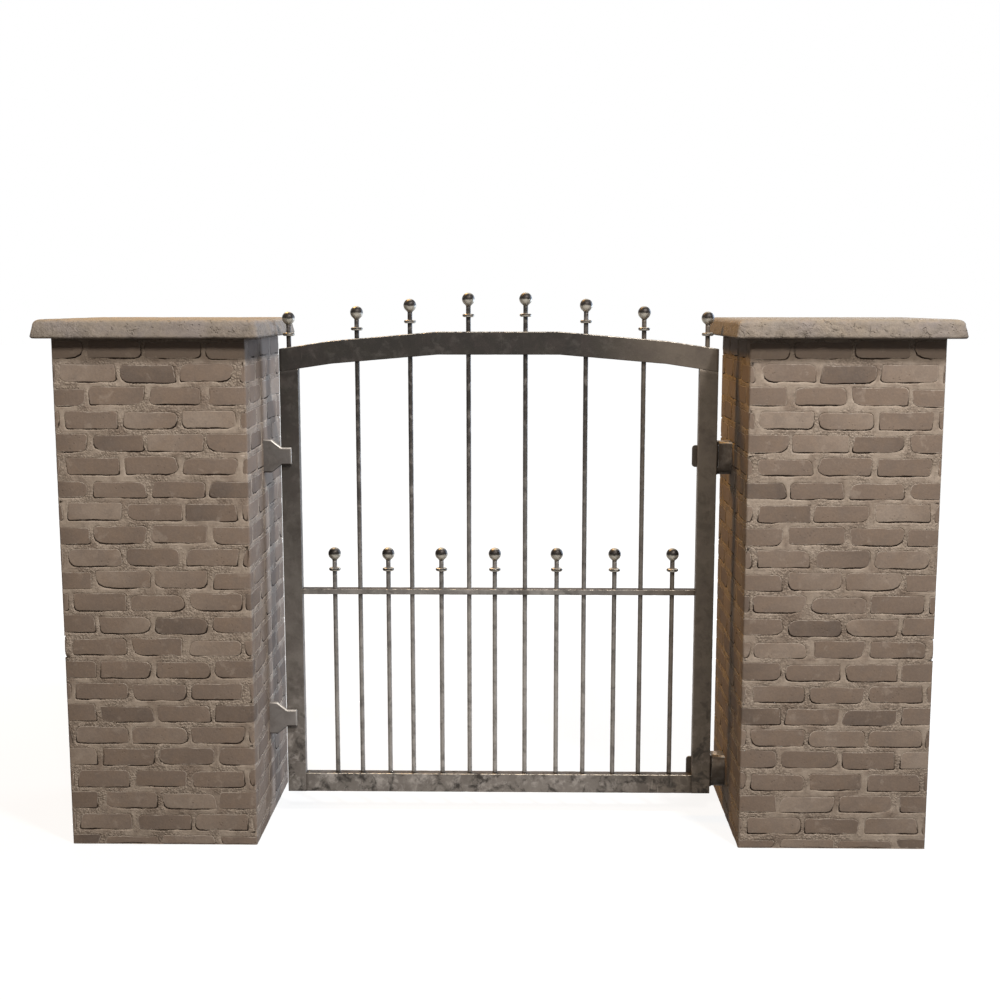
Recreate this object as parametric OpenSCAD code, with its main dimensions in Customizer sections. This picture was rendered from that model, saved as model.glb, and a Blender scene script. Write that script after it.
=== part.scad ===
// Garden gate: one steel leaf with ball-topped bars between two square brick piers.
// X runs along the gateway, +Y is the garden side and Z is up from the ground.
// The origin is on the ground, in the middle of the gateway and of the piers' depth.

/* [Gateway] */
// Clear width between the two piers
opening_w = 1760; // [1300:10:2400]

/* [Piers] */
// Side of each square pier
pier_w = 680; // [400:10:900]
// Height of the brickwork below the capstone
pier_h = 1848; // [1600:4:2400]
// Radius of the piers' upright arrises
pier_arris_r = 6; // [2:1:15]

/* [Capstones] */
// Thickness of a capstone
cap_t = 67; // [40:1:110]
// How far a capstone reaches past the pier on each side
cap_overhang = 58; // [20:1:60]
// How far a capstone's sides lean in from bottom to top
cap_batter = 14; // [5:1:60]
// Radius along a capstone's upper edges
cap_edge_r = 18; // [8:1:24]
// Radius along a capstone's lower edges
cap_foot_r = 8; // [3:1:12]
// Radius of a capstone's corners in plan
cap_corner_r = 14; // [6:1:30]

/* [Leaf frame] */
// Gap between the leaf and each pier
leaf_gap = 63; // [50:1:110]
// Gap between the leaf and the ground
ground_gap = 90; // [40:1:200]
// Depth of the frame's box section, front to back
frame_t = 40; // [30:1:60]
// Width of the two stiles
stile_w = 70; // [50:1:90]
// Height of the bottom rail
bottom_rail_h = 73; // [40:1:90]
// Height of the top rail, measured straight up
top_rail_h = 85; // [50:1:110]
// Height of the top rail's upper edge at its two ends
leaf_end_z = 1802; // [1400:2:1880]
// Rise of the top rail from its end to its shoulder
shoulder_rise = 29; // [10:1:60]
// Rise of the top rail from its shoulder to its flat crown
crown_rise = 34; // [10:1:60]
// Length along the gateway from the leaf's end to the shoulder
shoulder_in = 193; // [120:1:300]
// Length of the flat crown
crown_w = 454; // [200:2:700]

/* [Middle rail] */
// Height of the middle rail's underside above the ground
middle_rail_z = 871; // [600:1:1200]
// Thickness of the middle rail
middle_rail_h = 21; // [12:1:30]

/* [Bars and finials] */
// Diameter of the round bars
bar_d = 18; // [12:1:24]
// Clearance between a bar and the hole that it passes through
bar_gap = 0.2; // [0.1:0.05:0.5]
// Diameter of the balls
ball_d = 48; // [35:1:60]
// Length of the neck from a ball's underside down to the top of its bar
ball_neck_l = 1; // [0:0.5:12]
// Drop from a ball's centre to the middle of the collar under it
collar_drop = 60; // [48:1:75]
// Diameter of the collars
collar_d = 45; // [30:1:50]
// Thickness of the collars
collar_t = 12; // [6:1:14]
// Height of the short bars' balls above the top of the middle rail
short_ball_rise = 134; // [100:1:200]
// Height that the line of tall balls would reach in the middle of the leaf
ball_peak_z = 1996; // [1920:4:2200]
// Fall of the line of tall balls for each millimetre away from the middle
ball_fall = 0.104; // [0.05:0.002:0.15]
// Depth of the end stems' sockets in the top rail
stem_socket = 22; // [10:1:40]

/* [Hinges] */
// Height of the brackets on the pier
bracket_h = 124; // [100:1:160]
// Wall thickness of the brackets, which are short lengths of channel
bracket_t = 10; // [9:1:14]
// Depth of the brackets, from the web to the flanges' ends
bracket_depth = 60; // [40:1:90]
// Width of the bevel along a bracket's two front edges
bracket_bevel = 8; // [2:1:8]
// Height of the straps on the leaf
strap_h = 83; // [60:1:90]
// Thickness of the straps
strap_t = 6; // [4:1:8]
// How far a strap shows past the inner edge of its stile
strap_reach = 18; // [5:1:30]
// Radius of a strap's corners
strap_corner_r = 12; // [3:1:15]
// Outer radius of the knuckles
knuckle_r = 9; // [8:0.5:12]
// Radius of the hinge pins
pin_r = 5; // [4:0.5:6]
// Clearance round a pin where the leaf turns on it
pin_run_gap = 0.06; // [0.03:0.01:0.1]
// Clearance round a pin where the pier's bracket holds it
pin_fixed_gap = 0.03; // [0.02:0.01:0.05]
// Gap between one knuckle and the next
knuckle_gap = 0.4; // [0.2:0.1:1]
// Space left round a knuckle that turns beside a bracket
knuckle_clear = 1.2; // [1:0.1:4]
// Distance from the leaf's outer edge to the hinge axis
hinge_out = 3; // [0:0.5:10]
// Space between the leaf's back face and the knuckles
hinge_back = 1; // [0.5:0.5:5]
// How far the lower strap's top lies below the top of its bracket
lower_strap_down = 1; // [0:0.5:5]
// How far the upper strap's middle lies above the middle of its bracket
upper_strap_up = 8; // [0:0.5:12]
// How far a pin shows past its bracket at each end
pin_over = 2; // [0:0.5:5]
// Height of the lower bracket's underside above the ground
lower_bracket_z = 103; // [60:1:300]
// Height of the upper bracket's underside above the ground
upper_bracket_z = 1329; // [1100:1:1500]

/* [Catch plates] */
// Height of a catch plate where it leaves the pier
catch_root_h = 125; // [90:1:160]
// Height of its tongue
catch_tongue_h = 65; // [40:1:80]
// Length of its full-height root
catch_root_l = 30; // [15:1:45]
// Length from the pier to where the tongue starts
catch_neck_l = 68; // [50:1:90]
// Length from the pier to the end of the tongue
catch_l = 105; // [95:1:130]
// Thickness of a catch plate
catch_t = 12; // [8:1:16]
// Width of the bevel round its front face
catch_bevel = 5; // [2:1:7]
// Space between the leaf's front face and a catch plate
catch_gap = 6; // [5:0.5:10]
// Height of the lower catch plate's centre line
lower_catch_z = 388; // [200:1:600]
// Height of the upper catch plate's centre line
upper_catch_z = 1402; // [1100:1:1550]

/* [Building in] */
// Length of each bracket or catch plate that is built into its pier
tail_l = 60; // [30:1:100]
// Mortar gap round a built-in tail
tail_gap = 0.3; // [0.2:0.1:1]

/* [Hidden] */
$fn = 64;
EPS = 0.01;

// Rows of bars: thirteen bars share the width between the stiles, short and tall in turn.
bar_count = 13;
// Each bar stands a little off its even place, as set out by hand.
bar_nudge = [16, 6, 7, -9, -4, -5, -14, -6, 8, 5, 14, 7, 20];
// Distance of each end stem from the leaf's outer edge, catch side first.
stem_in = [35, 41];
// Each tall bar's ball stands a little off the line of tall balls.
ball_nudge = [-6, 0, 0, 0, 0, -5];
// Where a neck meets its ball, as a share of the ball's radius below its centre.
neck_share = 0.8;

leaf_w = opening_w - 2 * leaf_gap;
half_w = leaf_w / 2;
stile_in_x = half_w - stile_w;
shoulder_x = half_w - shoulder_in;
crown_x = crown_w / 2;
rail_top_z = ground_gap + bottom_rail_h;
pier_x = opening_w / 2 + pier_w / 2;
front_y = -frame_t / 2;
back_y = frame_t / 2;
bar_pitch = 2 * stile_in_x / (bar_count + 1);
middle_top_z = middle_rail_z + middle_rail_h;
hinge_x = half_w + hinge_out;
hinge_y = back_y + hinge_back + knuckle_r;
catch_front_y = front_y - catch_gap - catch_t;
bracket_front_y = hinge_y - bracket_t / 2;
ball_seat = ball_d / 2 + ball_neck_l;
// Height of each strap's underside above its bracket's: the lower strap is
// carried on one tall knuckle, the upper one is held between two.
lower_strap_lift = bracket_h - strap_h - lower_strap_down;
upper_strap_lift = (bracket_h - strap_h) / 2 + upper_strap_up;

tall_bars = [for (k = [1 : 2 : bar_count - 1]) k];
short_bars = [for (k = [0 : 2 : bar_count - 1]) k];

// Place of bar k along the gateway.
function bar_x(k) = -stile_in_x + (k + 1) * bar_pitch + bar_nudge[k];
// Place of an end stem along the gateway: side -1 is the catch side, 1 the hinge side.
function stem_x(side) = side * (half_w - stem_in[side < 0 ? 0 : 1]);
// Height of the top rail's upper edge at a distance from the middle.
function rail_z(x) =
    abs(x) <= crown_x ? leaf_end_z + shoulder_rise + crown_rise :
    abs(x) <= shoulder_x ?
        leaf_end_z + shoulder_rise + crown_rise * (shoulder_x - abs(x)) / (shoulder_x - crown_x) :
        leaf_end_z + shoulder_rise * (half_w - abs(x)) / shoulder_in;
// Height of the centre of a tall ball at a distance from the middle.
function tall_ball_z(x) = ball_peak_z - ball_fall * abs(x);
short_ball_z = middle_top_z + short_ball_rise;

// Lays a shape drawn in X and Z upright, from y0 with a thickness towards the back.
module upright(y0, t) {
    translate([0, y0 + t, 0]) rotate([90, 0, 0]) linear_extrude(t) children();
}

module rounded_rect(w, d, r) {
    square([w - 2 * r, d], center = true);
    square([w, d - 2 * r], center = true);
    for (x = [-1, 1], y = [-1, 1]) translate([x * (w / 2 - r), y * (d / 2 - r)]) circle(r);
}

// ---- Piers and capstones ----

module pier(side, pockets) {
    color("rosybrown") difference() {
        translate([side * pier_x, 0, 0]) linear_extrude(pier_h)
            rounded_rect(pier_w, pier_w, pier_arris_r);
        // One pocket, [y0, thickness, z0, height], for each tail built in
        for (p = pockets)
            translate([side * opening_w / 2 + (side < 0 ? -tail_l - tail_gap : -1),
                       p[0] - tail_gap, p[2] - tail_gap])
                cube([tail_l + tail_gap + 1, p[1] + 2 * tail_gap, p[3] + 2 * tail_gap]);
    }
}

module left_pier() {
    pier(-1, [for (z = [lower_catch_z, upper_catch_z])
        [catch_front_y, catch_t, z - catch_root_h / 2, catch_root_h]]);
}

module right_pier() {
    pier(1, [for (z = [lower_bracket_z, upper_bracket_z])
        [bracket_front_y, bracket_t, z, bracket_h]]);
}

// A thin level slice of the capstone, drawn in from its full size.
module cap_slice(inset, z) {
    side = pier_w + 2 * (cap_overhang - inset);
    translate([0, 0, z]) linear_extrude(EPS) rounded_rect(side, side, cap_corner_r);
}

module capstone(side) {
    lean = cap_batter / cap_t * (cap_t - cap_foot_r - cap_edge_r);
    color("tan") translate([side * pier_x, 0, pier_h]) hull() {
        for (a = [0 : 30 : 90])
            cap_slice(cap_foot_r * (1 - sin(a)), cap_foot_r * (1 - cos(a)));
        for (a = [12 : 13 : 90])
            cap_slice(lean + cap_edge_r * (1 - cos(a)), cap_t - cap_edge_r * (1 - sin(a)) - EPS);
    }
}

module left_capstone() { capstone(-1); }

module right_capstone() { capstone(1); }

// ---- Leaf frame ----

// Outline of a stile: its top is cut to the slope of the rail that lies on it.
module stile(side) {
    color("dimgray") upright(front_y, frame_t) polygon([
        [side * half_w, ground_gap],
        [side * stile_in_x, ground_gap],
        [side * stile_in_x, rail_z(stile_in_x) - top_rail_h],
        [side * half_w, rail_z(half_w) - top_rail_h]
    ]);
}

module hinge_stile() { stile(1); }

module catch_stile() { stile(-1); }

module bottom_rail() {
    color("dimgray") translate([-stile_in_x, front_y, ground_gap])
        cube([2 * stile_in_x, frame_t, bottom_rail_h]);
}

// A hole for bar k, from z0 to z1.
module bar_hole(k, z0, z1) {
    translate([bar_x(k), 0, z0]) cylinder(d = bar_d + 2 * bar_gap, h = z1 - z0);
}

module middle_rail() {
    color("dimgray") difference() {
        translate([-stile_in_x, front_y, middle_rail_z])
            cube([2 * stile_in_x, frame_t, middle_rail_h]);
        for (k = [0 : bar_count - 1]) bar_hole(k, middle_rail_z - 1, middle_top_z + 1);
    }
}

// Upper edge of the top rail from the catch end to the hinge end, as five straight runs.
rail_stops = [-half_w, -shoulder_x, -crown_x, crown_x, shoulder_x, half_w];

module top_rail() {
    color("dimgray") difference() {
        upright(front_y, frame_t) polygon(concat(
            [for (x = rail_stops) [x, rail_z(x)]],
            [for (i = [len(rail_stops) - 1 : -1 : 0])
                [rail_stops[i], rail_z(rail_stops[i]) - top_rail_h]]
        ));
        for (k = tall_bars) bar_hole(k, leaf_end_z - top_rail_h, tall_ball_z(0));
        for (side = [-1, 1])
            translate([stem_x(side), 0, rail_z(stem_x(side)) - stem_socket])
                cylinder(d = bar_d + 2 * bar_gap, h = stem_socket + top_rail_h);
    }
}

// ---- Bars and finials ----

module bar(k, ball_z) {
    color("slategray") translate([bar_x(k), 0, rail_top_z])
        cylinder(d = bar_d, h = ball_z - ball_seat - rail_top_z);
}

// Height of the centre of the ball on tall bar i, counted from 0.
function bar_ball_z(i) = tall_ball_z(bar_x(tall_bars[i])) + ball_nudge[i];

module tall_bar(i) { bar(tall_bars[i - 1], bar_ball_z(i - 1)); }

module short_bar(i) { bar(short_bars[i - 1], short_ball_z); }

module end_stem(side) {
    x = stem_x(side);
    z0 = rail_z(x) - stem_socket;
    color("slategray") translate([x, 0, z0])
        cylinder(d = bar_d, h = tall_ball_z(x) - ball_seat - z0);
}

module catch_end_stem() { end_stem(-1); }

module hinge_end_stem() { end_stem(1); }

// A flat ring with a round rim, threaded on its bar.
module collar() {
    rotate_extrude() difference() {
        union() {
            translate([0, -collar_t / 2]) square([collar_d / 2 - collar_t / 2, collar_t]);
            translate([collar_d / 2 - collar_t / 2, 0]) circle(collar_t / 2);
        }
        translate([-collar_d, -collar_d]) square([collar_d + bar_d / 2 + bar_gap, 2 * collar_d]);
    }
}

// A ball drawn down to a short neck that sits on the top of its bar.
module ball() {
    neck_top = neck_share * ball_d / 2;
    sphere(d = ball_d);
    translate([0, 0, -ball_seat])
        cylinder(r1 = bar_d / 2, r2 = sqrt(pow(ball_d / 2, 2) - pow(neck_top, 2)),
                 h = ball_seat - neck_top);
}

// Puts the same piece at every tall ball's centre, end stems included.
module at_tall_balls() {
    for (i = [0 : len(tall_bars) - 1])
        translate([bar_x(tall_bars[i]), 0, bar_ball_z(i)]) children();
    for (side = [-1, 1])
        translate([stem_x(side), 0, tall_ball_z(stem_x(side))]) children();
}

module at_short_balls() {
    for (k = short_bars) translate([bar_x(k), 0, short_ball_z]) children();
}

module tall_collars() {
    color("slategray") at_tall_balls() translate([0, 0, -collar_drop]) collar();
}

module short_collars() {
    color("slategray") at_short_balls() translate([0, 0, -collar_drop]) collar();
}

module tall_balls() { color("darkgray") at_tall_balls() ball(); }

module short_balls() { color("darkgray") at_short_balls() ball(); }

// ---- Hinges, on the pier's side and the leaf's ----

module at_hinge(z) { translate([hinge_x, hinge_y, z]) children(); }

// Strap on the back of the stile, with one knuckle as tall as itself.
module strap(z) {
    tip_x = stile_in_x - strap_reach;
    color("gray") difference() {
        union() {
            upright(back_y, strap_t) translate([tip_x, z]) {
                translate([strap_h / 2, strap_h / 2]) rounded_rect(strap_h, strap_h, strap_corner_r);
                translate([strap_h / 2, 0]) square([hinge_x - tip_x - strap_h / 2, strap_h]);
            }
            at_hinge(z) cylinder(r = knuckle_r, h = strap_h);
        }
        at_hinge(z - 1) cylinder(r = pin_r + pin_run_gap, h = strap_h + 2);
    }
}

// Section of a bracket in Y and Z, measured from the foot of its front face.
module bracket_section() {
    inner_h = bracket_h - bracket_t;
    polygon([
        [bracket_bevel, 0],
        [bracket_depth, 0],
        [bracket_depth, bracket_t],
        [bracket_t, bracket_t],
        [bracket_t, inner_h],
        [bracket_depth, inner_h],
        [bracket_depth, bracket_h],
        [bracket_bevel, bracket_h],
        [0, bracket_h - bracket_bevel],
        [0, bracket_bevel]
    ]);
}

// Length of channel with its web built into the pier, and with knuckles above and
// below the strap's where there is room.
module bracket(z, strap_lift) {
    low_h = strap_lift - knuckle_gap;
    high_z = strap_lift + strap_h + knuckle_gap;
    high_h = bracket_h - high_z;
    tail_x = opening_w / 2 - tail_gap;
    color("gray") difference() {
        union() {
            translate([hinge_x, bracket_front_y, z]) rotate([90, 0, 90])
                linear_extrude(tail_x - hinge_x) bracket_section();
            translate([tail_x, bracket_front_y, z])
                cube([tail_gap + tail_l, bracket_t, bracket_h]);
            at_hinge(z) cylinder(r = knuckle_r, h = low_h);
            if (high_h > knuckle_r) at_hinge(z + high_z) cylinder(r = knuckle_r, h = high_h);
        }
        at_hinge(z - 1) cylinder(r = pin_r + pin_fixed_gap, h = bracket_h + 2);
        at_hinge(z + low_h)
            cylinder(r = knuckle_r + knuckle_clear,
                     h = high_h > knuckle_r ? high_z - low_h : bracket_h);
    }
}

module hinge_pin(z) {
    color("silver") at_hinge(z - pin_over) cylinder(r = pin_r, h = bracket_h + 2 * pin_over);
}

module upper_strap() { strap(upper_bracket_z + upper_strap_lift); }

module lower_strap() { strap(lower_bracket_z + lower_strap_lift); }

module upper_bracket() { bracket(upper_bracket_z, upper_strap_lift); }

module lower_bracket() { bracket(lower_bracket_z, lower_strap_lift); }

module upper_hinge_pin() { hinge_pin(upper_bracket_z); }

module lower_hinge_pin() { hinge_pin(lower_bracket_z); }

// ---- Catch plates ----

// A plate with the given outline and a bevel all round its front face.
module bevelled_plate() {
    hull() {
        upright(catch_front_y + catch_bevel, catch_t - catch_bevel) children();
        upright(catch_front_y, catch_t) offset(delta = -catch_bevel) children();
    }
}

// Plate built into the pier, tapering to a tongue that the leaf shuts against.
module catch_plate(z) {
    root_x = -opening_w / 2;
    color("gray") {
        translate([root_x - tail_l, catch_front_y, z - catch_root_h / 2])
            cube([tail_l, catch_t, catch_root_h]);
        bevelled_plate() polygon([
            [root_x - tail_l, z - catch_root_h / 2],
            [root_x + catch_root_l, z - catch_root_h / 2],
            [root_x + catch_neck_l, z - catch_tongue_h / 2],
            [root_x + catch_neck_l, z + catch_tongue_h / 2],
            [root_x + catch_root_l, z + catch_root_h / 2],
            [root_x - tail_l, z + catch_root_h / 2]
        ]);
        bevelled_plate() translate([root_x + catch_root_l, z - catch_tongue_h / 2])
            square([catch_l - catch_root_l, catch_tongue_h]);
    }
}

module upper_catch_plate() { catch_plate(upper_catch_z); }

module lower_catch_plate() { catch_plate(lower_catch_z); }

left_pier();
right_pier();
left_capstone();
right_capstone();
hinge_stile();
catch_stile();
bottom_rail();
middle_rail();
top_rail();
for (i = [1 : 6]) tall_bar(i);
for (i = [1 : 7]) short_bar(i);
catch_end_stem();
hinge_end_stem();
tall_collars();
tall_balls();
short_collars();
short_balls();
upper_strap();
lower_strap();
upper_bracket();
lower_bracket();
upper_hinge_pin();
lower_hinge_pin();
upper_catch_plate();
lower_catch_plate();
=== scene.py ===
"""Garden gate: worn brick piers with cast capstones and a forged steel leaf between them.

Every place and main size comes from the frame. X runs along the gateway, +Y is the garden side
and Z is up, all in metres. New pieces are surfaces worked out with numpy at their real place.
"""

import itertools
import math

import bpy
import numpy as np
from bpy.props import FloatProperty, FloatVectorProperty, IntProperty, PointerProperty
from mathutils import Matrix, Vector


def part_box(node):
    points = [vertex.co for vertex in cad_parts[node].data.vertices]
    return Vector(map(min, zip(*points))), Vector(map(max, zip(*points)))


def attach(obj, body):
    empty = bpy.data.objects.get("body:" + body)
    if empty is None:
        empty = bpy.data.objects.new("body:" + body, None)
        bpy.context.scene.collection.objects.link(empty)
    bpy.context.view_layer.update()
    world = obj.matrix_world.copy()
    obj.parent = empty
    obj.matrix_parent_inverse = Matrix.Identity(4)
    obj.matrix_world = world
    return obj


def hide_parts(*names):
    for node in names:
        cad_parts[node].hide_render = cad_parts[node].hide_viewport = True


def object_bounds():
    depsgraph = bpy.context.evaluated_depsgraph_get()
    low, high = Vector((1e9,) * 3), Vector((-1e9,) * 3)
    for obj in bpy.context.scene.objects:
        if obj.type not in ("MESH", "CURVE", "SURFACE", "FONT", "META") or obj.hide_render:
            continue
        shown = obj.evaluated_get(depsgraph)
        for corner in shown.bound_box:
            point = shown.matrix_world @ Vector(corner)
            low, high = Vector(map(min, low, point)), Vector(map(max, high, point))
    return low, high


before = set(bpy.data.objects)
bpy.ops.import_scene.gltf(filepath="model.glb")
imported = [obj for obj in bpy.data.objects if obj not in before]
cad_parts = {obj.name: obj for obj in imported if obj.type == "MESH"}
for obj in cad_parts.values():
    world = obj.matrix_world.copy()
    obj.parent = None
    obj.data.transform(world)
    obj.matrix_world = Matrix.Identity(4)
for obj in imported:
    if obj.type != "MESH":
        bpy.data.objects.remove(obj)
CAD_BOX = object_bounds()

bl_info = {
    "name": "Garden Gate Finish",
    "version": (1, 0, 0),
    "blender": (4, 5, 0),
    "location": "View3D > Sidebar > Gate",
    "description": "Lays worn brickwork, capstones and forged steel round the frame of a garden gate",
    "category": "Add Mesh",
}

# Angles of a quarter circle's points
QUARTER = np.radians((0, 30, 60, 90))


def srgb(red, green, blue):
    """Linear colour of a screen colour whose parts run from 0 to 255."""
    part = np.array((red, green, blue)) / 255
    return tuple(np.where(part <= 0.04045, part / 12.92, ((part + 0.055) / 1.055) ** 2.4))


def size(name, description, default, **more):
    """A length that a user may change."""
    return FloatProperty(name=name, description=description, default=default, min=0.0,
                         unit="LENGTH", subtype="DISTANCE", precision=4, **more)


def colour(name, description, default):
    """A colour that a user may change."""
    return FloatVectorProperty(name=name, description=description, default=default, size=3,
                               min=0.0, max=1.0, subtype="COLOR")


def strength(name, description, default):
    """A plain number that a user may change."""
    return FloatProperty(name=name, description=description, default=default, min=0.0)


# ---------------------------------------------------------------- settings


class PierSettings(bpy.types.PropertyGroup):
    """Sizes and colours of the brickwork."""
    course: size("Course", "Height of one brick with its bed joint", 0.082)
    first_bed: size("First bed", "Height of the underside of the first whole course", 0.056)
    brick_height: size("Brick height", "Height of a brick's face", 0.061)
    perpend: size("Perpend", "Width of the upright joints", 0.021)
    first_joint: size("First joint", "Middle of the first upright joint from the outer arris", 0.024)
    bond: FloatProperty(
        name="Bond", description="Share of a brick by which every other course is shifted",
        default=0.44, min=0.0, max=1.0, subtype="FACTOR")
    proud: size("Proud", "How far a brick's face may stand before or behind the pier's face", 0.0006)
    recess: size("Recess", "Depth of the mortar behind the brick faces", 0.0005)
    groove: size("Groove", "Depth of the groove between a brick's lower edge and its mortar", 0.0060)
    lip: size("Lip", "Width of that groove", 0.0042)
    slant: size("Slant", "How far a brick's ends may lean from upright", 0.0040)
    arris: size("Arris", "Rounding of the pier's upright arrises", 0.006)
    seed: IntProperty(name="Seed", description="Picks another lay of the bricks", default=11)
    brick_dark: colour("Dark brick", "Colour of the darkest bricks", srgb(98, 87, 79))
    brick_mid: colour("Middle brick", "Colour of most bricks", srgb(121, 107, 96))
    brick_light: colour("Light brick", "Colour of the palest bricks", srgb(145, 132, 120))
    mortar_light: colour("Light mortar", "Colour of the clean mortar", srgb(161, 149, 137))
    mortar_dark: colour("Dark mortar", "Colour of the dirt in the joints", srgb(92, 80, 70))
    # The crevice colour is painted shade in the grooves under the bricks, where shade falls.
    crevice: colour("Crevice", "Colour of the dirt in the grooves under the bricks", srgb(47, 36, 28))


class CapSettings(bpy.types.PropertyGroup):
    """Sizes and colours of the capstones."""
    corner: size("Corner", "Radius of a capstone's corners in plan", 0.014)
    edge: size("Upper edge", "Worn rounding along the upper edges", 0.023)
    foot: size("Lower edge", "Rounding along the lower edges", 0.008)
    batter: size("Batter", "How far the sides lean in from bottom to top", 0.014)
    wear: size("Wear", "Depth of the hollows worn into the faces", 0.0008)
    chips: size("Chips", "Depth of the chips along the edges", 0.0018)
    stone: colour("Stone", "Colour of the cast stone", srgb(129, 121, 113))
    shade: colour("Shade", "Colour of the darker patches low on the faces", srgb(104, 96, 87))
    stain: colour("Stain", "Colour of the dirt in the pits and cracks", srgb(62, 54, 47))
    bleach: colour("Bleach", "Colour where the weather has bleached the top", srgb(126, 118, 104))


class LeafSettings(bpy.types.PropertyGroup):
    """Sizes and colours of the steel frame and its bars."""
    arris: size("Arris", "Rounding of the frame's edges", 0.0022)
    seam: size("Seam", "Rounding of each member's ends", 0.0003)
    station: size("Station", "Spacing of the rings along each member", 0.012)
    dents: size("Dents", "Depth of the waviness left by the hammer", 0.00025)
    nicks: size("Nicks", "Depth of the nicks along the edges", 0.0009)
    steel_dark: colour("Dark steel", "Colour of the tarnished steel near the top", srgb(42, 39, 36))
    steel_brown: colour("Brown steel", "Colour of the rustier steel at the hinges", srgb(95, 86, 76))
    # The light steel and light bars colours are painted light: the pale lower leaf where reflected
    # light falls.
    steel_lit_low: colour("Light steel", "Colour of the worn steel near the bottom", srgb(127, 120, 113))
    bars_lit_low: colour("Light bars", "Colour of the bars near the bottom", srgb(160, 155, 149))
    dust: colour("Dust", "Colour of the dirt that lies on upward faces", srgb(52, 42, 33))
    # The bright edge colour serves rubbed edges and scratches, and the painted highlight on edges that
    # face the light.
    bright: colour("Bright edge", "Colour of edges rubbed down to the metal", srgb(198, 188, 172))


class FinialSettings(bpy.types.PropertyGroup):
    """Sizes and colours of the balls and collars."""
    ball: size("Ball", "Diameter of the balls", 0.048)
    seat: size("Seat", "Height of a ball's centre above the top of its bar", 0.025)
    collar_drop: size("Collar drop", "Depth of a collar's middle below the top of its bar", 0.035)
    collar: size("Collar", "Diameter of the collars", 0.045)
    collar_thick: size("Collar thickness", "Thickness of the collars", 0.012)
    # The two ball colours are painted reflection bands: dark over the upper half and underneath, light
    # round the belly and crown.
    ball_dark_band: colour("Tarnish", "Colour of the darkened upper half", srgb(40, 36, 33))
    ball_light_band: colour("Polish", "Colour of the lower half and the rubbed crown", srgb(168, 162, 150))


class PlateSettings(bpy.types.PropertyGroup):
    """Sizes and colours of the hinge plates and catch plates."""
    edge: size("Edge", "Rounding of the plates' edges", 0.0012)
    strap_corner: size("Strap corner", "Radius of the straps' corners", 0.012)
    knuckle: size("Knuckle", "Outer radius of the knuckles", 0.009)
    knuckle_clear: size("Knuckle clearance", "Gap round a strap's knuckle", 0.0005)
    wall: size("Bracket wall", "Thickness of a bracket's web and flanges", 0.010)
    chamfer: size("Bracket chamfer", "Width of the slope along a bracket's front edges", 0.008)
    tongue_height: size("Tongue height", "Height of a catch plate's tongue", 0.065)
    root_length: size("Root length", "Length of a catch plate's full-height root", 0.030)
    neck_length: size("Neck length", "Length from the pier to the start of the tongue", 0.068)
    bevel: size("Bevel", "Width of the bevel round a catch plate's face", 0.005)
    catch_steel: colour("Catch steel", "Colour of the catch plates", srgb(95, 91, 88))
    low_catch_steel: colour("Low catch steel", "Colour of the lower catch plate", srgb(124, 119, 115))
    hinge_steel: colour("Hinge steel", "Colour of the straps and brackets", srgb(68, 60, 52))
    # The bevel colour is a painted highlight where bevels face the lamps.
    bevel_highlight: colour("Gleam", "Colour of the plates' bevels where they face up or outwards",
                  srgb(160, 154, 147))


class StageSettings(bpy.types.PropertyGroup):
    """The camera, the lamps and the floor."""
    lens: strength("Lens", "Focal length in millimetres", 50.0)
    key: strength("Key light", "Power of the warm lamp in front", 442.0)
    fill: strength("Fill light", "Power of the steep lamp on the right", 572.0)
    side: strength("Side light", "Power of the cool lamp behind on the right", 430.0)
    warm: strength("Warm light", "Power of the warm lamp high on the left, behind the leaf", 258.0)
    ambient: strength("Ambient", "Strength of the light all round", 0.14)
    floor: colour("Floor", "Colour of the floor", (0.12, 0.12, 0.12))
    glow: strength("Floor glow", "How white the floor is seen", 0.88)


# ---------------------------------------------------------------- fields and surfaces


def soft_noise(points, cell, seed):
    """Smooth random field from -1 to 1.

    Every corner of a cubic lattice of the given cell gets a hashed value, and a point blends the
    eight corners round it with the weights 3t^2 - 2t^3 along each axis."""
    place = np.asarray(points, float) / cell
    base = np.floor(place).astype(np.int64)
    t = place - base
    t = t * t * (3 - 2 * t)
    total = np.zeros(place.shape[:-1])
    for corner in itertools.product((0, 1), repeat=3):
        node = base + corner
        mixed = node[..., 0] * 73856093 ^ node[..., 1] * 19349663 ^ node[..., 2] * 83492791
        mixed = (mixed ^ (seed * 2654435761)) & 0xFFFFFFFF
        mixed = (mixed ^ (mixed >> 15)) * 2246822519 & 0xFFFFFFFF
        mixed = (mixed ^ (mixed >> 13)) * 3266489917 & 0xFFFFFFFF
        value = ((mixed ^ (mixed >> 16)) & 0xFFFF) / 32767.5 - 1
        weight = np.prod(np.where(corner, t, 1 - t), axis=-1)
        total += value * weight
    return total


def layered_noise(points, cell, seed, layers=3):
    """Sum of soft noises, each of half the cell and half the strength of the one before."""
    return sum(soft_noise(points, cell / 2 ** k, seed + k) / 2 ** k for k in range(layers))


def smooth_step(value, low, high):
    """0 below low, 1 above high and 3t^2 - 2t^3 between."""
    t = np.clip((value - low) / (high - low), 0, 1)
    return t * t * (3 - 2 * t)


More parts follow.
